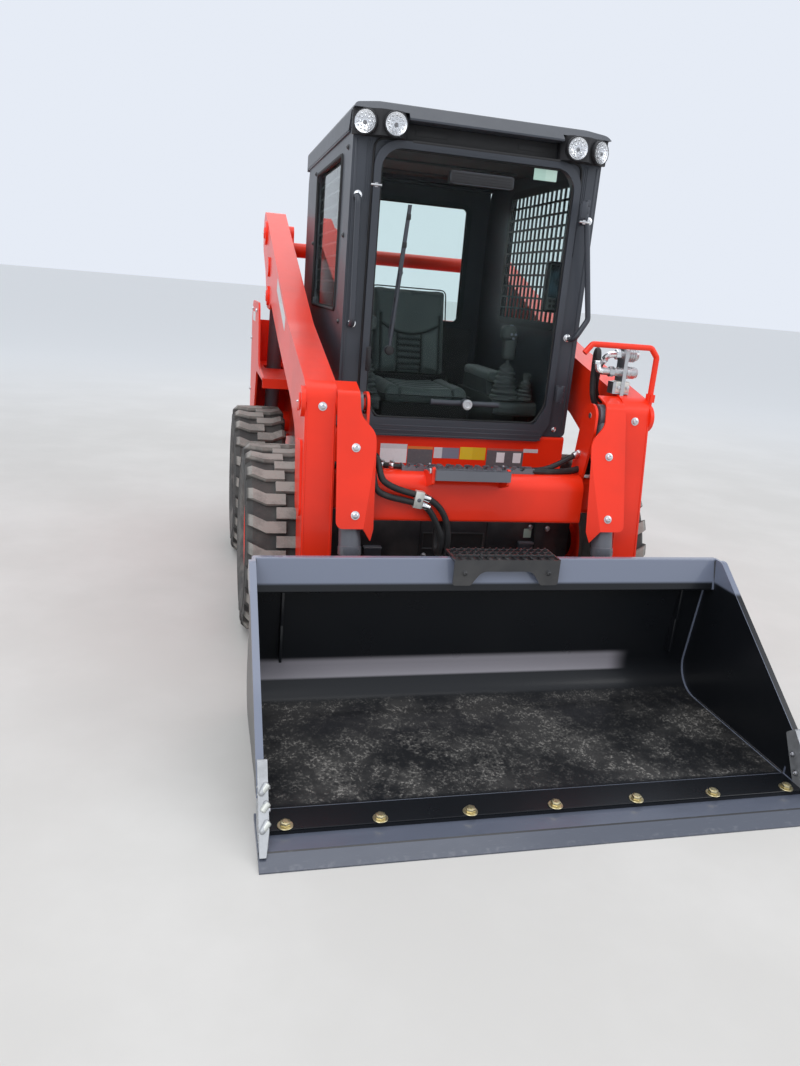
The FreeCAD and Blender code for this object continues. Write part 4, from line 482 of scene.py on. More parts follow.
def make_finishes(colours):
    red, charcoal = tuple(colours.red), tuple(colours.charcoal)
    dust, wear = tuple(colours.dust), colours.wear
    black = (0.017, 0.018, 0.020)
    FINISH.update(
        red=painted("red_gloss", red, dust, 0.34, 0.16, 0.06 * wear, low=0.5, Specular_IOR_Level=0.38),
        frame_red=painted("red_frame", darker(red, 0.93), dust, 0.38, 0.12, 0.18 * wear, low=0.9, Specular_IOR_Level=0.38),
        charcoal=painted("charcoal_satin", charcoal, dust, 0.40, 0.10, 0.05 * wear, 520.0, Specular_IOR_Level=0.42),
        barrel=painted("barrel_grey", (0.125, 0.130, 0.150), dust, 0.30, 0.3, 0.06 * wear),
        black=painted("frame_black", black, dust, 0.46, 0.08, 0.13 * wear, low=0.6),
        step=painted("step_black", (0.022, 0.023, 0.026), dust, 0.36, 0.4, 0.18 * wear),
        engine=cast_metal("engine_casting", (0.16, 0.16, 0.17)),
        bucket=bucket_paint("bucket_gloss", tuple(colours.bucket), tuple(colours.slate), dust, wear),
        edge=edge_steel("edge_plate", darker(tuple(colours.slate), 0.62)),
        cast=cast_metal("cutter_casting", (0.46, 0.47, 0.48)),
        pale_cast=cast_metal("pale_casting", (0.70, 0.71, 0.66), 0.6),
        bright=bright_metal("bright_zinc", (0.86, 0.87, 0.88), 0.20),
        chrome=chrome_rod("hard_chrome"),
        zinc=bright_metal("zinc_plate", (0.66, 0.66, 0.68), 0.26),
        brass=bright_metal("yellow_zinc", (0.66, 0.58, 0.36), 0.28),
        silver=bright_metal("brushed_silver", (0.58, 0.59, 0.60), 0.30),
        plastic=moulded("black_plastic", (0.012, 0.012, 0.014), 0.46),
        rubber=moulded("seal_rubber", (0.014, 0.014, 0.015), 0.62, 420.0),
        hose=braided("hose_cover", (0.019, 0.019, 0.020)),
        seat=seat_cloth("seat_vinyl", (0.090, 0.108, 0.108)),
        webbing=seat_cloth("belt_webbing", (0.022, 0.022, 0.024)),
        bellow=moulded("bellow_rubber", (0.070, 0.076, 0.078), 0.42, 520.0),
        console=moulded("console_plastic", (0.062, 0.068, 0.070), 0.50),
        liner=moulded("cab_liner", (0.060, 0.062, 0.066), 0.7, 300.0),
        glass=pane("cab_glass_tint", (0.86, 0.94, 0.92)),
        lens=lens("lamp_lens", (0.97, 0.98, 1.0)),
        red_lens=lens("tail_lens", (0.75, 0.02, 0.015)),
        mirror=bright_metal("lamp_reflector", (0.88, 0.89, 0.90), 0.08),
        weld_red=weld_metal("weld_red", darker(red, 0.9)),
        weld_black=weld_metal("weld_black", (0.03, 0.031, 0.034)),
        screen=lit_screen("display_glass"),
        mark_white=plate_print("blank_white", (0.92, 0.92, 0.93), (0.72, 0.73, 0.75), "Z", 0.818),
        mark_header=plate_print("blank_header", (0.13, 0.13, 0.14), (0.80, 0.22, 0.04), "Z", 0.8195),
        mark_dark=plate_print("blank_dark", (0.13, 0.13, 0.14), (0.55, 0.10, 0.07), "Z", 0.826),
        mark_grey=plate_print("blank_grey", (0.70, 0.71, 0.74), (0.22, 0.24, 0.31), "X", -0.044),
        mark_yellow=plate_print("blank_yellow", (0.86, 0.60, 0.03), (0.80, 0.53, 0.02), "X", 0.088),
        mark_pale=plate_print("blank_pale", (0.42, 0.62, 0.52), (0.50, 0.68, 0.58), "X", 0.262),
        stripe=plate_print("blank_stripe", (0.70, 0.69, 0.68), (0.62, 0.61, 0.60), "Z", 1.335),
    )
    for place, middle in WHEELS.items():
        FINISH["tyre_" + place] = tyre_rubber("tyre_" + place, middle, dust, wear)


NODE_FINISH = {
    "boom_arms": "red", "boom_crossmembers": "red", "cylinder_guards": "red", "coupler_guard": "red",
    "rear_links": "red", "control_links": "red", "front_apron": "red", "hood": "red",
    "rear_towers": "frame_red", "main_frame": "frame_red",
    "cab_frame": "charcoal", "cab_sides": "charcoal", "cab_rear": "charcoal", "cab_roof": "charcoal",
    "rear_door": "charcoal", "front_door": "charcoal", "step_bars": "barrel",
    "axle_housings": "black", "belly_pan": "black", "deck_plates": "black", "rear_frame": "black",
    "cab_floor": "liner", "bucket_coupler": "black", "side_screens": "black", "seat_frame": "plastic",
    "engine_block": "engine", "bucket_step": "step",
    "lift_barrels": "barrel", "tilt_barrels": "barrel", "lift_rods": "chrome", "tilt_rods": "chrome",
    "bucket_shell": "bucket", "cutting_edge": "edge", "side_cutters": "cast",
    "cab_glass": "glass", "grab_handles": "charcoal", "hydraulic_couplers": "silver",
    "boom_hoses": "hose", "work_lamps": "plastic", "consoles": "console", "controls": "bellow",
    "seat_cushion": "seat", "seat_back": "seat",
}


# modelling
def block(bm, low, high, round_off=0.0, segments=2, turn=None):
    """Box between two corners, turned about its middle, its edges rounded."""
    middle = Vector([(a + b) / 2 for a, b in zip(low, high)])
    size = [b - a for a, b in zip(low, high)]
    place = Matrix.Translation(middle) @ (turn or Matrix.Identity(4)) @ Matrix.Diagonal((*size, 1.0))
    made = bmesh.ops.create_cube(bm, size=1.0, matrix=place)["verts"]
    if round_off:
        edges = list({e for v in made for e in v.link_edges})
        soften(bm, edges, round_off, segments)


def soften(bm, edges, reach, segments=2):
    bmesh.ops.bevel(
        bm, geom=edges, offset=reach, offset_type="OFFSET", segments=segments,
        profile=0.5, affect="EDGES", material=-1, clamp_overlap=True)


def along(start, way):
    """Matrix that puts the Z axis on a line."""
    return Matrix.Translation(start) @ Vector(way).to_track_quat("Z", "Y").to_matrix().to_4x4()


def rod(bm, start, end, radius, tip=None, sides=20, round_off=0.0, segments=2):
    """Round bar, or a cone where the tip differs, its end rims rounded."""
    start, end = Vector(start), Vector(end)
    place = along((start + end) / 2, end - start)
    made = bmesh.ops.create_cone(
        bm, cap_ends=True, cap_tris=False, segments=sides, radius1=radius,
        radius2=radius if tip is None else tip, depth=(end - start).length, matrix=place)["verts"]
    if round_off:
        edges = {e for v in made for e in v.link_edges}
        rims = [e for e in edges if any(len(f.verts) > 4 for f in e.link_faces)]
        soften(bm, rims, round_off, segments)


def turned(bm, profile, centre, way, steps=28, closed=False):
    """Turned part: rows of (radius, distance along) spun about a line."""
    place = along(Vector(centre), way)
    verts = [bm.verts.new(place @ Vector((radius, 0.0, far))) for radius, far in profile]
    edges = [bm.edges.new(pair) for pair in zip(verts, verts[1:])]
    if closed:
        edges.append(bm.edges.new((verts[-1], verts[0])))
    bmesh.ops.spin(
        bm, geom=verts + edges, cent=centre, axis=Vector(way).normalized(), dvec=(0, 0, 0),
        angle=2 * math.pi, steps=steps, use_merge=True, use_duplicate=False)


def nut(bm, centre, way, across, height, round_off=0.0012):
    """Hexagon head standing on centre."""
    way = Vector(way).normalized()
    start = Vector(centre)
    rod(bm, start, start + way * height, across / math.sqrt(3), sides=6, round_off=round_off)


def bolt(bm, centre, way, across, washer=1.45):
    """Hexagon head on a washer, with the screw's end standing out of it."""
    way = Vector(way).normalized()
    start = Vector(centre)
    thick = across * 0.11
    rod(bm, start, start + way * thick, across * washer / 2, sides=18, round_off=thick * 0.3, segments=1)
    nut(bm, start + way * thick, way, across, across * 0.42, across * 0.05)
    top = start + way * (thick + across * 0.42)
    rod(bm, top - way * 0.001, top + way * across * 0.05, across * 0.3, sides=12)


def dome_bolt(bm, centre, way, across):
    """Round head with a flange and a socket."""
    half = across / 2
    turned(bm, [
        (half * 1.35, 0.0), (half * 1.35, across * 0.1), (half, across * 0.14), (half * 0.9, across * 0.36),
        (half * 0.5, across * 0.48), (half * 0.42, across * 0.48), (half * 0.4, across * 0.3), (0.0, across * 0.3),
    ], centre, way, 16)


def routed(bm, points, radius, sides=3, order=3):
    """Round pipe or hose on the smooth line that the points pull."""
    line = bpy.data.curves.new("route", "CURVE")
    line.dimensions = "3D"
    line.bevel_depth = radius
    line.bevel_resolution = sides
    line.use_fill_caps = True
    spline = line.splines.new("NURBS")
    spline.points.add(len(points) - 1)
    for knot, at in zip(spline.points, points):
        knot.co = (*at, 1.0)
    spline.order_u = order
    spline.use_endpoint_u = True
    spline.resolution_u = 8
    holder = bpy.data.objects.new("route", line)
    mesh = bpy.data.meshes.new_from_object(holder)
    bm.from_mesh(mesh)
    bpy.data.objects.remove(holder)
    bpy.data.curves.remove(line)
    bpy.data.meshes.remove(mesh)


def looped(bm, points, radius, sides=2):
    """Closed bead along a ring of points, such as a gasket."""
    line = bpy.data.curves.new("ring", "CURVE")
    line.dimensions = "3D"
    line.bevel_depth = radius
    line.bevel_resolution = sides
    spline = line.splines.new("NURBS")
    spline.points.add(len(points) - 1)
    for knot, at in zip(spline.points, points):
        knot.co = (*at, 1.0)
    spline.order_u = 3
    spline.use_cyclic_u = True
    spline.resolution_u = 4
    holder = bpy.data.objects.new("ring", line)
    mesh = bpy.data.meshes.new_from_object(holder)
    bm.from_mesh(mesh)
    bpy.data.objects.remove(holder)
    bpy.data.curves.remove(line)
    bpy.data.meshes.remove(mesh)


def rounded_ring(a0, a1, b0, b1, corner):
    """Control points of a rectangle with round corners, for looped."""
    return [
        (a0, b0 + corner), (a0, b0), (a0 + corner, b0),
        (a1 - corner, b0), (a1, b0), (a1, b0 + corner),
        (a1, b1 - corner), (a1, b1), (a1 - corner, b1),
        (a0 + corner, b1), (a0, b1), (a0, b1 - corner),
    ]


def both_sides(bm, build):
    """What build adds, and its mirror twin on the other side."""
    before = set(bm.verts)
    build()
    fresh = [v for v in bm.verts if v not in before]
    parts = list({f for v in fresh for f in v.link_faces})
    twin = bmesh.ops.duplicate(bm, geom=parts)["geom"]
    verts = [g for g in twin if isinstance(g, bmesh.types.BMVert)]
    bmesh.ops.scale(bm, vec=(-1, 1, 1), verts=verts)
    bmesh.ops.reverse_faces(bm, faces=[g for g in twin if isinstance(g, bmesh.types.BMFace)])


def piece(name, build, finish, body, keen=35.0, lay_right=True):
    """Object made by build in a new bmesh; it rides on a body and takes a finish."""
    bm = bmesh.new()
    build(bm)
    bmesh.ops.remove_doubles(bm, verts=bm.verts, dist=1e-6)
    if lay_right:
        bmesh.ops.recalc_face_normals(bm, faces=bm.faces)
    mesh = bpy.data.meshes.new(name)
    bm.to_mesh(mesh)
    bm.free()
    for polygon in mesh.polygons:
        polygon.use_smooth = True
    mesh.set_sharp_from_angle(angle=math.radians(keen))
    mesh.materials.append(FINISH[finish])
    made = bpy.data.objects.new(name, mesh)
    bpy.context.scene.collection.objects.link(made)
    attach(made, body)
    return made


def sizes():
    return bpy.context.scene.loader_sizes


# operators
class LOADER_OT_finishes(bpy.types.Operator):
    """Give every CAD node its finish"""
    bl_idname = "loader.finishes"
    bl_label = "Finishes"

    def execute(self, context):
        make_finishes(context.scene.loader_colours)
        for name, node in NODES.items():
            if name.startswith("tyre_"):
                finish = FINISH[name]
            elif name.startswith("rim_"):
                finish = FINISH["frame_red"]
            else:
                finish = FINISH[NODE_FINISH[name]]
            if not node.material_slots:
                node.data.materials.append(finish)
            for place in node.material_slots:
                place.material = finish
        return {"FINISHED"}


class LOADER_OT_bucket(bpy.types.Operator):
    """Bolts, wear strip, welds and step irons of the bucket"""
    bl_idname = "loader.bucket"
    bl_label = "Bucket fittings"

    def execute(self, context):
        width = sizes().edge_bolt
        weld = sizes().weld
        side = SHELL[1].x - 0.012
        floor = 0.030

        def edge_bolts(bm):
            for i in range(7):
                bolt(bm, (0.262 * (i - 3), EDGE[0].y + 0.142, floor + 0.004), (0, 0, 1), width, 1.7)

        def strip(bm):
            block(bm, (-side + 0.011, -1.600, floor), (side - 0.011, -1.503, floor + 0.004), 0.0012, 1)

        def welds(bm):
            rod(bm, (-side + 0.012, -1.5025, floor), (side - 0.012, -1.5025, floor), weld, sides=8)
            for x in (side - 0.0105, -side + 0.0105):
                rod(bm, (x, -1.500, floor + 0.001), (x, -1.010, floor + 0.001), weld, sides=8)
                rod(bm, (x, -0.966, 0.465), (x, -0.948, 0.573), weld, sides=8)

        def rear_ribs(bm):
            for x in (0.745, -0.745):
                block(bm, (x - 0.005, -0.9185, 0.190), (x + 0.005, -0.858, 0.330), 0.002)
                block(bm, (x - 0.005, -0.9260, 0.330), (x + 0.005, -0.872, 0.470), 0.002)

        def step_irons(bm):
            for y in (-0.962, -0.930, -0.898):
                block(bm, (-0.174, y - 0.002, 0.5885), (0.190, y + 0.002, 0.5965), 0.001, 1)
                for i in range(14):
                    x = -0.160 + 0.026 * i
                    rod(bm, (x, y - 0.003, 0.596), (x, y + 0.003, 0.596), 0.0055, sides=10)
            for x in (-0.085, 0.095):
                block(bm, (x - 0.003, -0.984, 0.5885), (x + 0.003, -0.876, 0.5925), 0.001, 1)

        def step_studs(bm):
            for x in (-0.145, 0.160):
                dome_bolt(bm, (x, -0.9903, 0.540), (0, -1, 0), 0.016)

        def cutter_bolts(bm):
            for x in SIDES:
                for y, z in ((-1.560, 0.070), (-1.530, 0.120)):
                    at = Vector((x * (SHELL[1].x - 0.0335), y, z))
                    dome_bolt(bm, at, (-x, 0, 0), 0.014)

        def cutter_ribs(bm):
            rise = Vector((0.0, 0.7038, 0.7105))
            for x in SIDES:
                for i in range(3):
                    foot = Vector((x * 0.8520, -1.6886, 0.0189)) + rise * (0.066 + 0.048 * i)
                    head = Vector((x * 0.8345, -1.6886, 0.0189)) + rise * (0.088 + 0.048 * i)
                    rod(bm, foot, head, 0.0088, 0.0100, 18, 0.004)

        piece("cutter_ribs", cutter_ribs, "pale_cast", "bucket")
        piece("edge_bolts", edge_bolts, "brass", "bucket")
        piece("edge_strip", strip, "bucket", "bucket")
        piece("bucket_welds", welds, "weld_black", "bucket")
        piece("bucket_rear_ribs", rear_ribs, "bucket", "bucket")
        piece("step_irons", step_irons, "step", "bucket")
        piece("step_studs", step_studs, "step", "bucket")
        piece("cutter_bolts", cutter_bolts, "zinc", "bucket")
        return {"FINISHED"}


def guard_face(z):
    """Front face of a cylinder guard at height z."""
    return TILT_TOP.y + (z - TILT_TOP.z) * 196.0 / 693.0 - 0.0608


def arm_face(z):
    """Front face of a boom arm's lower leg at height z."""
    return -0.624 + (z - 1.052) * 73.0 / 569.0


class LOADER_OT_boom(bpy.types.Operator):
    """Guard bolts, welds, pin caps and seams of the boom"""
    bl_idname = "loader.boom"
    bl_label = "Boom fittings"

    def execute(self, context):
        size = sizes()
        tilt = Vector((0, -693, 196)).normalized()

        def guard_bolts(bm):
            for x in SIDES:
                for z in (0.896, 0.668):
                    dome_bolt(bm, (x * 0.487, guard_face(z) + 0.0006, z), tilt, size.guard_bolt)
                dome_bolt(bm, (x * 0.604, arm_face(1.027) - 0.0002, 1.027), (0, -1, 0.13), size.guard_bolt)

        def pin_caps(bm):
            for x in SIDES:
                for (y, z), reach in (((-0.585, 1.036), 0.6790), ((1.389, 1.680), 0.6770), ((1.125, 1.353), 0.6750)):
                    start = Vector((x * reach, y, z))
                    turned(bm, [
                        (0.030, 0.0), (0.030, 0.004), (0.027, 0.006), (0.012, 0.006), (0.0, 0.006),
                    ], start, (x, 0, 0), 24)
                low, high = sorted((x * 0.6790, x * 0.6850))
                block(bm, (low, -0.566, 0.999), (high, -0.542, 1.023), 0.002)

        def inner_caps(bm):
            for x in SIDES:
                at = Vector((x * 0.4462, -0.585, 1.036))
                turned(bm, [
                    (0.034, -0.003), (0.034, 0.002), (0.030, 0.006), (0.024, 0.0065), (0.021, 0.004), (0.0, 0.004),
                ], at, (-x, 0, 0), 28)

        def inner_bolts(bm):
            for x in SIDES:
                nut(bm, (x * 0.4424, -0.585, 1.036), (-x, 0, 0), 0.020, 0.009)

        def grease(bm):
            for x in SIDES:
                for y, z, reach in ((-0.585, 1.036, 0.685), (1.389, 1.680, 0.683), (1.125, 1.353, 0.681), (-0.690, 0.200, 0.6870)):
                    rod(bm, (x * (reach - 0.002), y, z), (x * (reach + 0.006), y, z), 0.0045, 0.003, 10)

        def welds(bm):
            weld = size.weld
            for x in SIDES:
                inner = x * (ARM_IN - 0.001)
                rod(bm, (inner, -0.6405, 0.630), (inner, -0.6365, 0.742), weld, sides=8)
                rod(bm, (inner, -0.633, 0.748), (inner, -0.584, 0.797), weld, sides=8)
                rod(bm, (inner, -0.534, 0.785), (inner, -0.492, 0.785), weld, sides=8)
                rod(bm, (inner, -0.4705, 0.662), (inner, -0.4705, 0.764), weld, sides=8)
                turned(bm, [
                    (0.038 + weld, 0.0), (0.038 + weld * 0.7, weld * 0.7), (0.038, weld),
                ], (x * ARM_IN, 1.250, 1.600), (-x, 0, 0), 28)

        def seams(bm):
            for x in SIDES:
                for edge in (ARM_IN + 0.006, ARM_OUT - 0.006):
                    high, low = 1.040, 0.490
                    rod(bm, (x * edge, arm_face(high), high), (x * edge, arm_face(low), low), 0.0026, sides=8)

        piece("guard_bolts", guard_bolts, "zinc", "boom")
        piece("boom_pin_caps", pin_caps, "red", "boom")
        piece("tilt_pin_caps", inner_caps, "rubber", "boom")
        piece("tilt_pin_bolts", inner_bolts, "zinc", "boom")
        piece("boom_grease_points", grease, "zinc", "boom")
        piece("boom_welds", welds, "weld_red", "boom")
        piece("boom_seams", seams, "red", "boom")
        return {"FINISHED"}


class LOADER_OT_hoses(bpy.types.Operator):
    """Hoses over the cross member, their fittings, tray and clamp"""
    bl_idname = "loader.hoses"
    bl_label = "Front hoses"

    def execute(self, context):
        half = sizes().clamp / 2

        def front(bm):
            """The two hoses that drop over the cross member's face."""
            for start, end, lift in ((-0.395, -0.111, 0.726), (-0.421, -0.137, 0.694)):
                routed(bm, [
                    (start, -0.552, 0.790), (start, -0.552, 0.826), (start, -0.575, 0.854), (start + 0.001, -0.630, 0.846),
                    (start + 0.004, -0.668, 0.806), (start + 0.016, -0.674, lift + 0.050), (start + 0.060, -0.670, lift + 0.026),
                    (-0.292, -0.667, lift + 0.012), (-0.240, -0.667, lift), (-0.196 + (end + 0.111) * 0.3, -0.667, lift - 0.013),
                    (end - 0.038, -0.667, lift - 0.050), (end - 0.008, -0.667, lift - 0.108), (end, -0.666, 0.560),
                    (end, -0.662, 0.520), (end, -0.644, 0.492), (end, -0.612, 0.492), (end, -0.590, 0.522), (end, -0.589, 0.619),
                ], 0.0120, 4)

        def lines(bm):
            for y, z in ((-0.519, 0.7950), (-0.497, 0.7950)):
                routed(bm, [
                    (-0.284, -0.562, 0.8090), (-0.312, -0.561, 0.8090), (-0.340, -0.548, 0.8085),
                    (-0.366, y - 0.006, 0.8040), (-0.396, y, z + 0.001), (-0.440, y, z),
                    (-0.500, y, z), (-0.5553, y, z),
                ], 0.0105)
            routed(bm, [
                (0.230, -0.560, 0.8090), (0.262, -0.560, 0.8095), (0.310, -0.557, 0.8200),
                (0.360, -0.551, 0.8420), (0.402, -0.544, 0.8640), (0.432, -0.538, 0.8770),
            ], 0.0105)
            routed(bm, [
                (0.230, -0.574, 0.8085), (0.268, -0.574, 0.8080), (0.322, -0.568, 0.8060),
                (0.380, -0.556, 0.8060), (0.420, -0.548, 0.8120), (0.446, -0.542, 0.8180),
            ], 0.0130)

        def fittings(bm):
            for x, y, z in ((-0.322, -0.556, 0.809), (-0.356, -0.535, 0.806)):
                way = Vector((-0.86, 0.50, -0.08))
                rod(bm, Vector((x, y, z)) - way * 0.009, Vector((x, y, z)) + way * 0.009, 0.0140, sides=18, round_off=0.002)
                nut(bm, (x, y, z + 0.010), (0, 0, 1), 0.017, 0.010)
            way = Vector((0.86, 0.17, 0.40))
            start = Vector((0.410, -0.5425, 0.867))
            rod(bm, start, start + way * 0.022, 0.0138, sides=18, round_off=0.002)
            nut(bm, start + way * 0.022, way, 0.026, 0.012)
            for x, y, z in ((0.462, -0.552, 0.8605), (0.484, -0.522, 0.8605)):
                nut(bm, (x, y, z), (0, 0, 1), 0.022, 0.010)

        def valve(bm):
            block(bm, (0.440, -0.566, 0.7980), (0.502, -0.508, 0.8610), 0.005, 2)
            block(bm, (0.447, -0.5745, 0.812), (0.490, -0.5645, 0.848), 0.003, 2)
            routed(bm, [
                (0.436, -0.5370, 0.8790), (0.452, -0.5340, 0.8860), (0.470, -0.5300, 0.8860), (0.480, -0.5240, 0.8780),
                (0.484, -0.5220, 0.8660),
            ], 0.0100)

        def tray(bm):
            for i in range(7):
                x = -0.246 + 0.072 * i
                block(bm, (x - 0.017, -0.5845, 0.8195), (x + 0.017, -0.5700, 0.8230), 0.0012, 1)
            block(bm, (-0.193, -0.7195, 0.8325), (0.086, -0.7165, 0.8338), 0.0005, 1)
            for x in (-0.150, -0.060, 0.040):
                block(bm, (x - 0.014, -0.6940, 0.8118), (x + 0.014, -0.6700, 0.8150), 0.0012, 1)

        def tray_bolts(bm):
            nut(bm, (-0.2060, -0.690, 0.822), (-1, 0, 0), 0.018, 0.009)
            for x in (-0.201, 0.085):
                dome_bolt(bm, (x, -0.640, 0.8378), (0, 0, 1), 0.008)

        def clamp(bm):
            middle = Vector((-0.240, -0.667, 0.7100))
            lean = Matrix.Rotation(math.radians(9), 4, "Y")
            block(bm, middle - Vector((0.0170, 0.0150, half)), middle + Vector((0.0170, 0.0150, half)), 0.0030, 2, lean)

        def clamp_mark(bm):
            dome_bolt(bm, (-0.240, -0.6819, 0.7100), (0, -1, 0), 0.011)

        def ferrules(bm):
            for z in (0.7225, 0.6905):
                start = Vector((-0.226, -0.667, z))
                rod(bm, start, start + Vector((0.030, 0.0, -0.0115)), 0.0138, sides=20, round_off=0.002)

        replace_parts(piece("front_hoses", front, "hose", "boom"), "boom_hoses")
        piece("cross_hoses", lines, "hose", "boom")
        piece("hose_fittings", fittings, "zinc", "boom")
        piece("hose_valve", valve, "plastic", "boom")
        piece("hose_tray_tabs", tray, "charcoal", "boom")
        piece("tray_bolts", tray_bolts, "zinc", "boom")
        piece("hose_clamp", clamp, "pale_cast", "boom")
        piece("clamp_bolt", clamp_mark, "barrel", "boom")
        piece("hose_ferrules", ferrules, "bright", "boom")
        return {"FINISHED"}


class LOADER_OT_couplers(bpy.types.Operator):
    """Knurled sleeves, elbows and hoses of the quick couplers"""
    bl_idname = "loader.couplers"
    bl_label = "Quick couplers"

    def execute(self, context):
        y = -0.530
        out = (1, 0, 0)

        def upper(bm):
            profile = [(0.0150, 0.0), (0.0150, 0.012), (0.0225, 0.013)]
            for i in range(5):
                far = 0.014 + 0.0098 * i
                profile += [(0.0262, far + 0.0018), (0.0266, far + 0.0052), (0.0228, far + 0.0076), (0.0228, far + 0.0086)]
            profile += [(0.0215, 0.0650), (0.0205, 0.0715), (0.0140, 0.0735), (0.0, 0.0735)]
            turned(bm, profile, (0.551, y, 1.268), out, 36)

        def lower(bm):
            turned(bm, [
                (0.0150, 0.0), (0.0165, 0.004), (0.0165, 0.018), (0.0190, 0.020), (0.0190, 0.026), (0.0165, 0.028),
                (0.0215, 0.031), (0.0240, 0.034), (0.0240, 0.039), (0.0215, 0.042), (0.0215, 0.046), (0.0240, 0.049),
                (0.0245, 0.060), (0.0225, 0.063), (0.0225, 0.066), (0.0235, 0.069), (0.0235, 0.084), (0.0205, 0.088),
                (0.0205, 0.094), (0.0135, 0.097), (0.0, 0.097),
            ], (0.534, y, 1.202), out, 36)
            nut(bm, (0.512, y, 1.202), out, 0.034, 0.022, 0.002)

        def elbows(bm):
            nut(bm, (0.531, y, 1.268), out, 0.034, 0.020, 0.002)
            routed(bm, [
                (0.5345, y, 1.268), (0.515, y, 1.267), (0.503, -0.527, 1.262), (0.497, -0.518, 1.251), (0.494, -0.504, 1.238),
            ], 0.0125)
            routed(bm, [
                (0.515, y, 1.202), (0.490, y, 1.202), (0.474, -0.529, 1.203), (0.467, -0.527, 1.213), (0.466, -0.525, 1.234),
            ], 0.0125)
            nut(bm, (0.466, -0.5255, 1.226), (0, 0.08, 1), 0.030, 0.014)
            nut(bm, (0.4965, -0.5150, 1.247), (-0.15, 0.72, -0.66), 0.030, 0.014)

        def tails(bm):
            routed(bm, [
                (0.466, -0.5245, 1.238), (0.466, -0.5220, 1.262), (0.468, -0.5050, 1.282), (0.474, -0.4820, 1.264),
                (0.482, -0.4680, 1.215), (0.488, -0.4600, 1.150), (0.498, -0.4620, 1.085), (0.524, -0.4660, 1.046),
                (0.5553, -0.4680, 1.036),
            ], 0.0115)
            routed(bm, [
                (0.4950, -0.5060, 1.240), (0.4930, -0.4900, 1.222), (0.4980, -0.4720, 1.190), (0.5080, -0.4480, 1.150),
                (0.5200, -0.4330, 1.110), (0.5370, -0.4300, 1.084), (0.5553, -0.4300, 1.076),
            ], 0.0115)

        def pad(bm):
            block(bm, (0.541, -0.5545, 1.1225), (0.601, -0.5060, 1.1680), 0.006, 3)

        def pad_bolts(bm):
            for x in (0.552, 0.590):
                nut(bm, (x, -0.5545, 1.145), (0, -1, 0), 0.013, 0.006)

        piece("coupler_upper", upper, "silver", "boom")
        piece("coupler_lower", lower, "silver", "boom")
        piece("coupler_elbows", elbows, "bright", "boom")
        piece("coupler_tails", tails, "hose", "boom")
        piece("coupler_pad", pad, "pale_cast", "boom")
        piece("coupler_pad_bolts", pad_bolts, "zinc", "boom")
        return {"FINISHED"}


class LOADER_OT_plates(bpy.types.Operator):
    """Blank plates where stickers sit on the real machine"""
    bl_idname = "loader.plates"
    bl_label = "Blank plates"

    def execute(self, context):
        face = APRON[0].y

        def low_plate(name, x0, x1, z0, z1, finish, step=0.0):
            def build(bm):
                block(bm, (x0, face - 0.0008 - step, z0), (x1, face + 0.0002, z1), 0.0003, 1)
            piece(name, build, finish, "chassis")

        low_plate("plate_white", -0.306, -0.194, 0.760, 0.838, "mark_white")
        low_plate("plate_dark_left", -0.191, -0.084, 0.753, 0.831, "mark_header")
        low_plate("plate_grey", -0.079, 0.030, 0.785, 0.830, "mark_grey")
        low_plate("plate_yellow", 0.034, 0.146, 0.783, 0.835, "mark_yellow")
        low_plate("plate_dark_right", 0.152, 0.316, 0.755, 0.835, "mark_dark")
        low_plate("plate_pale_left", 0.196, 0.232, 0.775, 0.818, "mark_white", 0.0006)
        low_plate("plate_pale_right", 0.270, 0.306, 0.775, 0.818, "mark_white", 0.0006)
        low_plate("plate_small", 0.314, 0.380, 0.821, 0.837, "mark_white", 0.0003)

        def glass_plate(bm):
            block(bm, (0.214, GLASS_Y - 0.0012, 1.884), (0.309, GLASS_Y + 0.0002, 1.925), 0.0004, 1)

        def arm_stripes(bm):
            lift = Matrix.Rotation(math.radians(20.5), 4, "X")
            for x in SIDES:
                low, high = sorted((x * (ARM_OUT - 0.0002), x * (ARM_OUT + 0.0008)))
                block(bm, (low, 0.180, 1.305), (high, 0.640, 1.365), 0.0004, 1, lift)

        def tower_plates(bm):
            for x in SIDES:
                low, high = sorted((x * 0.7168, x * 0.7178))
                block(bm, (low, 1.340, 1.205), (high, 1.540, 1.255), 0.0004, 1)

        def rear_plate(bm):
            y = REAR_DOOR[1].y - 0.012
            block(bm, (-0.120, y - 0.0002, 1.140), (0.120, y + 0.0008, 1.185), 0.0004, 1)

        piece("plate_glass", glass_plate, "mark_pale", "chassis")
        piece("arm_stripes", arm_stripes, "stripe", "boom")
        piece("tower_plates", tower_plates, "stripe", "chassis")
        piece("rear_door_plate", rear_plate, "stripe", "rear_door")
        return {"FINISHED"}


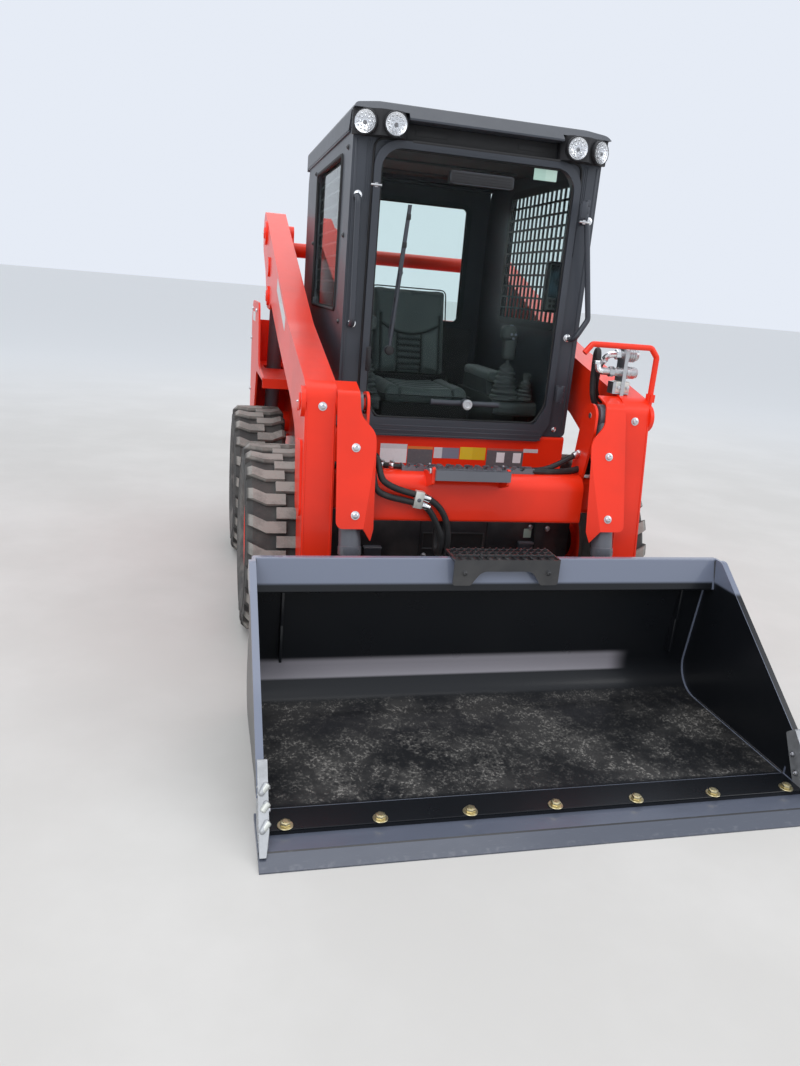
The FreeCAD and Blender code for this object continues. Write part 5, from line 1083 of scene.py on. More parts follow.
class LOADER_OT_lamps(bpy.types.Operator):
    """Lenses, reflectors and rims of the work lamps and tail lamps"""
    bl_idname = "loader.lamps"
    bl_label = "Lamps"

    def execute(self, context):
        places = []
        for s in SIDES:
            places.append((Vector((s * 0.352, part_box("work_lamps")[0].y, 2.000)), Vector((0, -1, 0))))
            out = Vector((s * 0.4319, -0.9019, 0))
            places.append((Vector((s * 0.454, -0.298, 2.000)) + out * 0.012, out))

        def rims(bm):
            for at, way in places:
                turned(bm, [
                    (0.0425, -0.0110), (0.0442, -0.0100), (0.0444, 0.0010), (0.0430, 0.0040),
                    (0.0398, 0.0044), (0.0388, 0.0025), (0.0388, 0.0003),
                ], at, way, 44)

        def bowls(bm):
            for at, way in places:
                turned(bm, [
                    (0.0388, 0.0034), (0.0350, 0.0030), (0.0290, 0.0018), (0.0180, 0.0009), (0.0, 0.0006),
                ], at, way, 40)
                frame_x = Vector((0, 0, 1)).cross(way).normalized()
                for ring, count, wide in ((0.0290, 12, 0.0052), (0.0175, 8, 0.0048)):
                    for i in range(count):
                        turn = i * 2 * math.pi / count
                        centre = at + way * 0.0012 + (frame_x * math.cos(turn) + Vector((0, 0, 1)) * math.sin(turn)) * ring
                        turned(bm, [(wide, 0.0), (wide * 0.7, 0.0014), (0.0, 0.0020)], centre, way, 8)

        def bulbs(bm):
            for at, way in places:
                centre = at + way * 0.0008 + Vector((0, 0, -0.004))
                turned(bm, [(0.0075, 0.0), (0.0075, 0.0026), (0.0060, 0.0036), (0.0035, 0.0020), (0.0, 0.0018)], centre, way, 20)

        def covers(bm):
            for at, way in places:
                turned(bm, [
                    (0.0389, 0.0030), (0.0389, 0.0046), (0.0290, 0.0070), (0.0150, 0.0083), (0.0, 0.0086),
                ], at, way, 40)

        def tails(bm):
            low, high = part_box("work_lamps")
            for x in SIDES:
                a, b = sorted((x * 0.583, x * 0.637))
                block(bm, (a, high.y - 0.004, 1.108), (b, high.y + 0.008, 1.172), 0.005, 3)

        def tail_rims(bm):
            low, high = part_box("work_lamps")
            for x in SIDES:
                a, b = sorted((x * 0.578, x * 0.642))
                looped(bm, [(p, high.y + 0.001, q) for p, q in rounded_ring(a, b, 1.103, 1.177, 0.008)], 0.0035)

        piece("lamp_rims", rims, "plastic", "chassis")
        piece("lamp_bowls", bowls, "mirror", "chassis")
        piece("lamp_bulbs", bulbs, "barrel", "chassis")
        piece("lamp_covers", covers, "lens", "chassis")
        piece("tail_covers", tails, "red_lens", "chassis")
        piece("tail_rims", tail_rims, "rubber", "chassis")
        return {"FINISHED"}


class LOADER_OT_cab(bpy.types.Operator):
    """Seals, hinges, pillar bolts, wiper parts and gutters of the cab, with dark sheets and a strip of painted shade
    under the visor and over the door's top bar
    """
    bl_idname = "loader.cab"
    bl_label = "Cab fittings"

    def execute(self, context):
        size = sizes()
        door = DOOR[0].y
        side = CAB_SIDE
        top = DOOR_RING_TOP

        def pillar_bolts(bm):
            for x, z in ((-0.462, 1.761), (-0.455, 1.300), (0.468, 1.757), (0.444, 1.304)):
                dome_bolt(bm, (x, CAB_FACE, z), (0, -1, 0), size.guard_bolt)
            for x in (0.44, -0.44):
                dome_bolt(bm, (x, CAB_FACE, 0.925), (0, -1, 0), 0.016)

        def ridges(bm):
            for x in SIDES:
                for i, low in enumerate((1.620, 1.740, 1.740)):
                    at = x * (0.4225 + 0.0075 * i)
                    block(bm, (at - 0.0014, CAB_FACE - 0.0020, low), (at + 0.0014, CAB_FACE + 0.0010, 1.952), 0.0008, 1)
                edge = x * 0.4780
                block(bm, (edge - 0.0050, CAB_FACE - 0.0022, 0.935), (edge + 0.0050, CAB_FACE + 0.0010, 1.950), 0.0020, 2)

        def door_seal(bm):
            for x, y, low, high in ((0.3815, GLASS_Y - 0.001, 0.9475, top - 0.0285), (0.4125, CAB_FACE - 0.002, 0.899, top + 0.0025)):
                rows = [
                    (-x, low + 0.108), (-x, low + 0.076), (-x + 0.040, low), (-x + 0.078, low),
                    (x - 0.078, low), (x - 0.040, low), (x, low + 0.076), (x, low + 0.108),
                    (x, high - 0.088), (x, high), (x - 0.088, high),
                    (-x + 0.088, high), (-x, high), (-x, high - 0.088),
                ]
                looped(bm, [(p, y, q) for p, q in rows], 0.0045)

        def door_hinges(bm):
            for z in (1.08, 1.79):
                for i in range(3):
                    low = z - 0.036 + 0.025 * i
                    rod(bm, (0.424, door + 0.006, low), (0.424, door + 0.006, low + 0.022), 0.009, sides=16, round_off=0.0015)
                block(bm, (0.398, door - 0.003, z - 0.030), (0.424, door + 0.001, z + 0.030), 0.0015)
                block(bm, (0.424, CAB_FACE - 0.004, z - 0.030), (0.446, CAB_FACE + 0.001, z + 0.030), 0.0015)

        def door_stops(bm):
            for x, z in ((-0.410, 1.792), (0.414, 1.745)):
                rod(bm, (x - 0.020, door - 0.004, z), (x + 0.020, door - 0.004, z), 0.0045, sides=14, round_off=0.001)
                block(bm, (x - 0.006, door - 0.006, z - 0.008), (x + 0.006, door + 0.001, z + 0.008), 0.0015, 1)

        def door_latch(bm):
            block(bm, (-0.4065, door - 0.010, 1.130), (-0.3865, door + 0.002, 1.222), 0.005, 3)
            rod(bm, (-0.3965, door - 0.008, 1.150), (-0.3965, door - 0.018, 1.150), 0.008, sides=20, round_off=0.002)
            block(bm, (-0.4035, door - 0.021, 1.150), (-0.3895, door - 0.012, 1.214), 0.004, 3)

        def bar_sleeves(bm):
            block(bm, (-0.1275, GLASS_Y - 0.0355, 1.8315), (0.1275, GLASS_Y + 0.0000, 1.8795), 0.0085, 4)
            for i in range(4):
                z = 1.8410 + 0.0095 * i
                rod(bm, (-0.118, GLASS_Y - 0.0350, z), (0.118, GLASS_Y - 0.0350, z), 0.0016, sides=8)

        def bar_lock(bm):
            turned(bm, [
                (0.0205, -0.002), (0.0215, 0.001), (0.0195, 0.005), (0.0120, 0.006), (0.0100, 0.004), (0.0, 0.004),
            ], (0.020, -0.3372, 1.020), (0, -1, 0), 28)

        def window_seals(bm):
            for x in SIDES:
                ring = rounded_ring(-0.060, 0.640, 1.340, 1.919, 0.060)
                looped(bm, [(x * (side + 0.0005), p, q) for p, q in ring], 0.0075)
            ring = rounded_ring(-0.360, 0.360, 1.290, 1.884, 0.050)
            looped(bm, [(p, 1.0105, q) for p, q in ring], 0.0075)

        def gutters(bm):
            for x in SIDES:
                edge = ROOF[1].x
                low, high = sorted((x * (edge - 0.012), x * (edge - 0.001)))
                block(bm, (low, -0.195, 1.9765), (high, 0.990, 1.9850), 0.002)

        def shade_sheets(bm):
            # painted shade: black sheets in the recess under the visor, between the lamp pods, where the roof's
            # overhang casts shadow
            block(bm, (-0.298, CAB_FACE - 0.0030, top + 0.0045), (0.298, CAB_FACE + 0.0005, 2.0190), 0.0015, 2)
            for x in SIDES:
                low, high = sorted((x * 0.140, x * 0.262))
                block(bm, (low, CAB_FACE - 0.0050, 1.982), (high, CAB_FACE - 0.0025, 2.004), 0.002, 2)

        def door_top_shade_strip(bm):
            """Dark strip over the door's top bar, under the lamp pods: painted shade below the roof's overhang."""
            block(bm, (-0.286, door - 0.0025, top - 0.0135), (0.286, door + 0.0005, top - 0.0055), 0.0012, 2)

        def rear_header(bm):
            block(bm, (-0.4795, 0.9985, 1.9315), (0.4795, 1.0095, 1.9725), 0.0010, 1)
            block(bm, (-0.4795, 0.9600, 1.9700), (0.4795, 1.0095, 1.9815), 0.0010, 1)

        def side_bolts(bm):
            rows = ((-0.170, 1.30), (-0.170, 1.62), (-0.170, 1.93), (0.72, 1.30), (0.72, 1.62), (0.72, 1.93), (0.97, 0.80), (0.97, 1.15))
            for x in SIDES:
                for y, z in rows:
                    dome_bolt(bm, (x * side, y, z), (x, 0, 0), 0.016)

        def wiper_clips(bm):
            for run in (0.090, 0.190, 0.291, 0.392, 0.492):
                x, z = -0.306 + run * 42.0 / 535.0, 1.209 + run
                block(bm, (x - 0.0085, GLASS_Y - 0.0185, z - 0.010), (x + 0.0085, GLASS_Y - 0.0120, z + 0.010), 0.002)
            turned(bm, [
                (0.0180, -0.006), (0.0185, 0.002), (0.0150, 0.007), (0.0070, 0.009), (0.0, 0.009),
            ], (-0.306, GLASS_Y - 0.0300, 1.209), (0, -1, 0), 26)

        def door_lines(bm):
            for z in (0.886, 0.904, 0.922):
                block(bm, (-0.352, door - 0.0024, z), (0.352, door + 0.0004, z + 0.0055), 0.0015, 2)

        piece("pillar_bolts", pillar_bolts, "bright", "chassis")
        piece("pillar_ridges", ridges, "charcoal", "chassis")
        piece("door_seals", door_seal, "rubber", "chassis")
        piece("door_hinges", door_hinges, "charcoal", "chassis")
        piece("door_stops", door_stops, "silver", "chassis")
        piece("door_latch", door_latch, "plastic", "chassis")
        piece("grip_sleeve", bar_sleeves, "plastic", "chassis")
        piece("bar_lock", bar_lock, "silver", "chassis")
        piece("window_seals", window_seals, "rubber", "chassis")
        piece("roof_gutters", gutters, "charcoal", "chassis")
        piece("rear_header", rear_header, "charcoal", "chassis")
        piece("visor_shade_sheets", shade_sheets, "rubber", "chassis")
        piece("door_top_shade_strip", door_top_shade_strip, "rubber", "chassis")
        piece("cab_side_bolts", side_bolts, "step", "chassis")
        piece("wiper_clips", wiper_clips, "rubber", "chassis")
        piece("door_sill_lines", door_lines, "charcoal", "chassis")
        return {"FINISHED"}


class LOADER_OT_wheels(bpy.types.Operator):
    """Hub caps, wheel nuts, valves and sidewall rings of the four wheels"""
    bl_idname = "loader.wheels"
    bl_label = "Wheel fittings"

    def execute(self, context):
        for place, (x, y) in WHEELS.items():
            side = 1 if x > 0 else -1
            way = Vector((side, 0, 0))
            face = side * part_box("rim_" + place)[1 if side > 0 else 0].x
            hub = Vector((side * 0.703, y, AXLE_Z))

            def hub_cap(bm):
                turned(bm, [
                    (0.045, 0.0005), (0.045, 0.004), (0.038, 0.010), (0.020, 0.013), (0.0, 0.013),
                ], hub, way, 32)
                for i in range(6):
                    turn = 2 * math.pi * (i + 0.5) / 6
                    at = hub + Vector((side * 0.008, 0.030 * math.cos(turn), 0.030 * math.sin(turn)))
                    nut(bm, at, way, 0.008, 0.006, 0.0006)

            def wheel_nuts(bm):
                for i in range(8):
                    turn = 2 * math.pi * i / 8
                    at = hub + Vector((-side * 0.0135, 0.1025 * math.sin(turn), 0.1025 * math.cos(turn)))
                    turned(bm, [(0.0165, 0.0), (0.0165, 0.003), (0.0140, 0.005)], at, way, 18)
                    nut(bm, at + way * 0.003, way, 0.024, 0.016)
                    rod(bm, at + way * 0.018, at + way * 0.027, 0.0065, sides=12, round_off=0.001)

            def valve(bm):
                start = Vector((side * 0.712, y + 0.150, AXLE_Z + 0.086))
                rod(bm, start, start + way * 0.030, 0.0045, sides=12)
                rod(bm, start + way * 0.024, start + way * 0.040, 0.0058, sides=12, round_off=0.001)

            def rings(bm):
                for radius, far, thick in ((0.262, 0.820, 0.0032), (0.286, 0.8385, 0.0028), (0.322, 0.8425, 0.0028)):
                    turned(bm, [
                        (radius - thick, -0.004), (radius - thick * 0.6, thick * 0.4), (radius, thick * 0.7),
                        (radius + thick * 0.6, thick * 0.4), (radius + thick, -0.004),
                    ], (side * far, y, AXLE_Z), way, 72)

            body = "wheel_" + place
            piece("hub_cap_" + place, hub_cap, "frame_red", body)
            piece("wheel_nuts_" + place, wheel_nuts, "zinc", body)
            piece("valve_" + place, valve, "plastic", body)
            piece("tyre_rings_" + place, rings, "tyre_" + place, body)
        return {"FINISHED"}


class LOADER_OT_cylinders(bpy.types.Operator):
    """Gland rings, ports and pressure pipes of the lift and tilt cylinders"""
    bl_idname = "loader.cylinders"
    bl_label = "Cylinder fittings"

    def execute(self, context):
        def fit(name, foot, head, open_end, radius, ports, body):
            way = (head - foot).normalized()
            across = Vector((1, 0, 0))
            back = way.cross(across).normalized()

            def glands(bm):
                def one():
                    end = foot + way * open_end
                    turned(bm, [
                        (radius + 0.0005, -0.034), (radius + 0.0025, -0.032), (radius + 0.0025, -0.006),
                        (radius - 0.0015, 0.0), (radius * 0.56, 0.0006),
                    ], end, way, 32)
                    for i in range(4):
                        turn = math.pi / 4 + i * math.pi / 2
                        at = end - way * 0.019 + (across * math.cos(turn) + back * math.sin(turn)) * (radius + 0.001)
                        rod(bm, at, at + (across * math.cos(turn) + back * math.sin(turn)) * 0.003, 0.004, sides=10)
                both_sides(bm, one)

            def pipes(bm):
                def one():
                    start, end = foot + way * ports[0], foot + way * ports[1]
                    out = back * ports[2]
                    for at in (start, end):
                        rod(bm, at + out * (radius - 0.002), at + out * (radius + 0.012), 0.0115, sides=16, round_off=0.0015)
                    lift = out * (radius + 0.008)
                    routed(bm, [
                        start + lift, start + lift + way * 0.030, (start * 3 + end) / 4 + lift,
                        (start + end) / 2 + lift, (start + end * 3) / 4 + lift, end + lift - way * 0.030, end + lift,
                    ], 0.0052)
                both_sides(bm, one)

            piece(name + "_glands", glands, "barrel", body)
            if ports:
                piece(name + "_pipes", pipes, "barrel", body)

        fit("tilt", TILT_TOP, TILT_FOOT, 0.541, 0.040, (), "tilt_barrels")
        fit("lift", LIFT_FOOT, LIFT_HEAD, 0.770, 0.040, (0.090, 0.715, 1.0), "lift_barrels")

        def wipers(bm):
            def one():
                way = (TILT_FOOT - TILT_TOP).normalized()
                end = TILT_TOP + way * 0.5415
                turned(bm, [(0.0255, 0.0), (0.0240, 0.004), (0.0206, 0.005)], end, way, 28)
            both_sides(bm, one)

        piece("tilt_rod_seals", wipers, "rubber", "tilt_barrels")
        return {"FINISHED"}


class LOADER_OT_interior(bpy.types.Operator):
    """Bellows, grips, display, pedals, belt and trim inside the cab"""
    bl_idname = "loader.interior"
    bl_label = "Cab interior"

    def execute(self, context):
        stick_y = 0.084

        def bellows(bm):
            for x in (0.330, -0.330):
                profile = [(0.066, 0.0), (0.066, 0.005)]
                for i in range(6):
                    low = 0.008 + 0.0210 * i
                    wide = 0.0640 - 0.0042 * i
                    profile += [(wide, low), (wide + 0.001, low + 0.006), (wide - 0.0095, low + 0.012), (wide - 0.0095, low + 0.016)]
                profile += [(0.034, 0.140), (0.022, 0.150), (0.013, 0.160)]
                turned(bm, profile, (x, stick_y, 1.0005), (0, 0, 1), 32)

        def gaiters(bm):
            for x in (0.424, -0.424):
                profile = [(0.038, 0.0)]
                for i in range(5):
                    low = 0.004 + 0.017 * i
                    wide = 0.038 - 0.0035 * i
                    profile += [(wide, low), (wide + 0.002, low + 0.004), (wide - 0.006, low + 0.010), (wide - 0.006, low + 0.013)]
                profile += [(0.016, 0.094), (0.020, 0.100), (0.020, 0.116), (0.012, 0.122), (0.0, 0.122)]
                turned(bm, profile, (x, 0.064, 1.0005), (0, 0, 1), 26)

        def grips(bm):
            for x in (0.330, -0.330):
                inward = -0.010 if x > 0 else 0.010
                block(bm, (x - 0.029, stick_y - 0.032, 1.176), (x + 0.029, stick_y + 0.028, 1.300), 0.020, 4)
                block(bm, (x - 0.036 + inward, stick_y - 0.040, 1.262), (x + 0.030 + inward, stick_y + 0.026, 1.326), 0.018, 4)

        def buttons(bm):
            for x in (0.330, -0.330):
                for dx, dz in ((-0.010, 1.290), (0.010, 1.290), (0.0, 1.272)):
                    rod(bm, (x + dx, stick_y - 0.034, dz), (x + dx, stick_y - 0.0435, dz), 0.0055, sides=14, round_off=0.001)
                rod(bm, (x, stick_y - 0.004, 1.322), (x, stick_y - 0.004, 1.331), 0.008, sides=16, round_off=0.0015)

        def display_rim(bm):
            ring = rounded_ring(0.352, 0.454, 1.405, 1.594, 0.014)
            looped(bm, [(p, -0.2015, q) for p, q in ring], 0.0055)
            for z in (1.425, 1.445):
                for x in (0.375, 0.393, 0.413, 0.431):
                    block(bm, (x - 0.006, -0.2045, z - 0.006), (x + 0.006, -0.2000, z + 0.006), 0.0015)

        def display_glass(bm):
            block(bm, (0.362, -0.2030, 1.458), (0.444, -0.2008, 1.586), 0.0008, 1)

        def pedals(bm):
            lean = Matrix.Rotation(math.radians(-32), 4, "X")
            for x in (-0.150, 0.150):
                block(bm, (x - 0.048, -0.098, 0.624), (x + 0.048, -0.086, 0.744), 0.004, 2, lean)
                for i in range(5):
                    block(bm, (x - 0.042, -0.106 + 0.0125 * i, 0.640 + 0.0200 * i), (x + 0.042, -0.098 + 0.0125 * i, 0.648 + 0.0200 * i), 0.002, 1, lean)
                rod(bm, (x, -0.085, 0.6), (x, -0.060, 0.573), 0.009, sides=12)
                rod(bm, (x, -0.085, 0.6), (x, -0.088, 0.660), 0.009, sides=12)

        def mat(bm):
            block(bm, (-0.395, -0.190, 0.5722), (0.395, 0.200, 0.5780), 0.002, 1)
            for i in range(22):
                x = -0.378 + 0.036 * i
                block(bm, (x - 0.005, -0.180, 0.5775), (x + 0.005, 0.190, 0.5805), 0.0012, 1)

        def liner(bm):
            block(bm, (-0.470, -0.180, 1.996), (0.470, 0.900, 2.0275), 0.006, 2)
            for y in (0.10, 0.42, 0.74):
                block(bm, (-0.400, y - 0.012, 1.986), (0.400, y + 0.012, 1.998), 0.005, 2)

        def rear_lining(bm):
            block(bm, (-0.440, 0.985, 0.62), (0.440, 0.9975, 1.262), 0.004, 2)
            for z in (0.78, 0.92, 1.06, 1.20):
                block(bm, (-0.400, 0.981, z - 0.008), (0.400, 0.987, z + 0.008), 0.003, 2)

        def belt(bm):
            for x in (0.200, -0.200):
                block(bm, (x - 0.0015, 0.545, 0.940), (x + 0.0015, 0.592, 1.035), 0.0008, 1)
            block(bm, (-0.226, 0.540, 1.020), (-0.206, 0.598, 1.078), 0.005, 3)

        def arm_pads(bm):
            for x in (0.320, -0.320):
                block(bm, (x - 0.042, 0.158, 1.0635), (x + 0.042, 0.556, 1.1120), 0.020, 4)

        def console_keys(bm):
            for x in (0.425, -0.425):
                for i in range(4):
                    y = 0.120 + 0.052 * i
                    block(bm, (x - 0.015, y - 0.011, 1.002), (x + 0.015, y + 0.011, 1.014), 0.003, 2)
                for i in range(2):
                    rod(bm, (x, 0.360 + 0.06 * i, 1.000), (x, 0.360 + 0.06 * i, 1.020), 0.013, 0.011, 20, 0.002)

        def pillar_trim(bm):
            for x in SIDES:
                a, b = sorted((x * 0.415, x * 0.470))
                block(bm, (a, -0.2010, 0.930), (b, -0.1930, 1.390), 0.003, 2)
                block(bm, (a, -0.2010, 1.610), (b, -0.1930, 1.960), 0.003, 2)

        piece("stick_bellows", bellows, "bellow", "chassis")
        piece("console_gaiters", gaiters, "bellow", "chassis")
        piece("stick_grips", grips, "bellow", "chassis")
        piece("stick_buttons", buttons, "mark_grey", "chassis")
        piece("display_rim", display_rim, "plastic", "chassis")
        piece("display_glass", display_glass, "screen", "chassis")
        piece("pedals", pedals, "step", "chassis")
        piece("floor_mat", mat, "rubber", "chassis")
        piece("roof_lining", liner, "liner", "chassis")
        piece("rear_lining", rear_lining, "liner", "chassis")
        piece("seat_belt", belt, "webbing", "chassis")
        piece("arm_pads", arm_pads, "seat", "chassis")
        piece("console_keys", console_keys, "plastic", "chassis")
        piece("pillar_trim", pillar_trim, "plastic", "chassis")
        return {"FINISHED"}


def pad_form(name, low, high, shear, cuts):
    """Closed block form for a pad, leaning back by shear, remeshed for the cloth to swell."""
    bm = bmesh.new()
    block(bm, low, high, 0.020, 3)
    for vertex in bm.verts:
        vertex.co.y += (vertex.co.z - low[2]) * shear
    mesh = bpy.data.meshes.new(name)
    bm.to_mesh(mesh)
    bm.free()
    form = bpy.data.objects.new(name, mesh)
    bpy.context.scene.collection.objects.link(form)
    grid = form.modifiers.new("grid", "REMESH")
    grid.mode = "VOXEL"
    grid.voxel_size = cuts
    made = bpy.data.meshes.new_from_object(form.evaluated_get(bpy.context.evaluated_depsgraph_get()))
    form.modifiers.clear()
    form.data = made
    bpy.data.meshes.remove(mesh)
    return form


def swell(form, most):
    """Blow the pad up a little with cloth, each point moved at most so far."""
    scene = bpy.context.scene
    cloth = form.modifiers.new("swell", "CLOTH")
    cloth.settings.quality = 5
    cloth.settings.use_pressure = True
    cloth.settings.uniform_pressure_force = 4.0
    cloth.settings.effector_weights.gravity = 0.0
    for step in range(1, 21):
        scene.frame_set(step)
    view = bpy.context.evaluated_depsgraph_get()
    blown = bpy.data.meshes.new_from_object(form.evaluated_get(view))
    form.modifiers.clear()
    for vertex, after in zip(form.data.vertices, blown.vertices):
        move = after.co - vertex.co
        if move.length > most:
            move *= most / move.length
        vertex.co += move
    bpy.data.meshes.remove(blown)
    scene.frame_set(1)


def dent(distance, half, depth):
    """Depth of a sewn channel at a distance from its line."""
    return depth * math.exp(-(distance / half) ** 2)


def mark_creases(form, creases):
    """Store how deep in a seam each point of a pad lies, for the seat cloth's painted shade in the seams."""
    form.data.attributes.new("crease", "FLOAT", "POINT").data.foreach_set("value", creases)


class LOADER_OT_seat(bpy.types.Operator):
    """Padded seat and back with sewn channels and piping"""
    bl_idname = "loader.seat"
    bl_label = "Seat"

    def execute(self, context):
        size = sizes()
        self.cushion(size)
        self.back(size)
        return {"FINISHED"}

    def finish(self, form, node, fill):
        for polygon in form.data.polygons:
            polygon.use_smooth = True
        form.data.materials.clear()
        form.data.materials.append(FINISH["seat"])
        smooth = form.modifiers.new("smooth", "SUBSURF")
        smooth.levels = smooth.render_levels = 1
        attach(form, "chassis")
        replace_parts(form, node)

    def cushion(self, size):
        low, high = CUSHION
        margin = size.swell
        form = pad_form(
            "seat_pad", (low.x + margin, low.y + margin, low.z + 0.002),
            (high.x - margin, high.y - 0.012, high.z - margin - 0.004), 0.0, 0.006)
        swell(form, margin)
        creases = [0.0] * len(form.data.vertices)
        for vertex in form.data.vertices:
            x, y, z = vertex.co
            if z > low.z + 0.030:
                crown = 0.006 * math.cos(min(1.0, abs(x) / 0.12) * math.pi / 2)
                bolster = 0.010 * math.exp(-((abs(x) - 0.175) / 0.030) ** 2)
                cut = dent(abs(x) - 0.128, 0.006, size.seam)
                for line in (0.30, 0.38, 0.46, 0.54):
                    if abs(x) < 0.122:
                        cut = max(cut, dent(y - line, 0.006, size.seam))
                vertex.co.z = min(high.z + 0.004, z + (bolster - cut - crown) * min(1.0, (z - low.z - 0.030) / 0.02))
                creases[vertex.index] = cut / 0.011
            vertex.co.z = max(low.z + 0.0006, vertex.co.z)
        mark_creases(form, creases)
        self.finish(form, "seat_cushion", 0.7)

        def piping(bm):
            top = low.z + 0.038
            ring = rounded_ring(low.x + 0.004, high.x - 0.004, low.y + 0.004, high.y - 0.030, 0.050)
            looped(bm, [(p, q, top) for p, q in ring], 0.0032)
        piece("seat_piping", piping, "webbing", "chassis")

    def back(self, size):
        low, high = BACK_PAD
        margin = size.swell
        shear = 0.242
        thick = 0.074
        form = pad_form(
            "seat_back_pad", (low.x + margin, low.y + margin, low.z + margin),
            (high.x - margin, low.y + thick, high.z - margin), shear, 0.006)
        swell(form, margin)
        creases = [0.0] * len(form.data.vertices)
        for vertex in form.data.vertices:
            x, y, z = vertex.co
            front = low.y + (z - low.z) * shear
            into = (y - front) / thick
            if into < 0.5:
                share = min(1.0, (0.5 - into) / 0.3)
                bolster = 0.016 * math.exp(-((abs(x) - 0.158) / 0.032) ** 2)
                hollow = 0.008 * math.cos(min(1.0, abs(x) / 0.12) * math.pi / 2)
                cut = dent(abs(x) - 0.152, 0.007, size.seam) if z < low.z + 0.300 else 0.0
                arch = low.z + 0.205 + 0.050 * (abs(x) / 0.150) ** 2
                if abs(x) < 0.152:
                    cut = max(cut, dent(z - arch, 0.006, size.seam * 1.2))
                if abs(x) < 0.060 and low.z + 0.030 < z < arch - 0.012:
                    cut = max(cut, size.seam * (0.5 - 0.5 * math.cos((z - low.z - 0.046) * 2 * math.pi / 0.030)))
                if z < arch:
                    cut = max(cut, dent(abs(x) - 0.062, 0.006, size.seam))
                vertex.co.y += (cut + hollow - bolster * 0.5) * share
                creases[vertex.index] = cut * share / 0.011
            vertex.co.y = min(vertex.co.y, front + thick + 0.006)
        mark_creases(form, creases)
        self.finish(form, "seat_back", 0.65)

        def piping(bm):
            ring = rounded_ring(low.x + 0.006, high.x - 0.006, low.z + 0.008, high.z - 0.008, 0.060)
            looped(bm, [(p, low.y + (q - low.z) * shear + 0.036, q) for p, q in ring], 0.0032)
        piece("back_piping", piping, "webbing", "chassis")


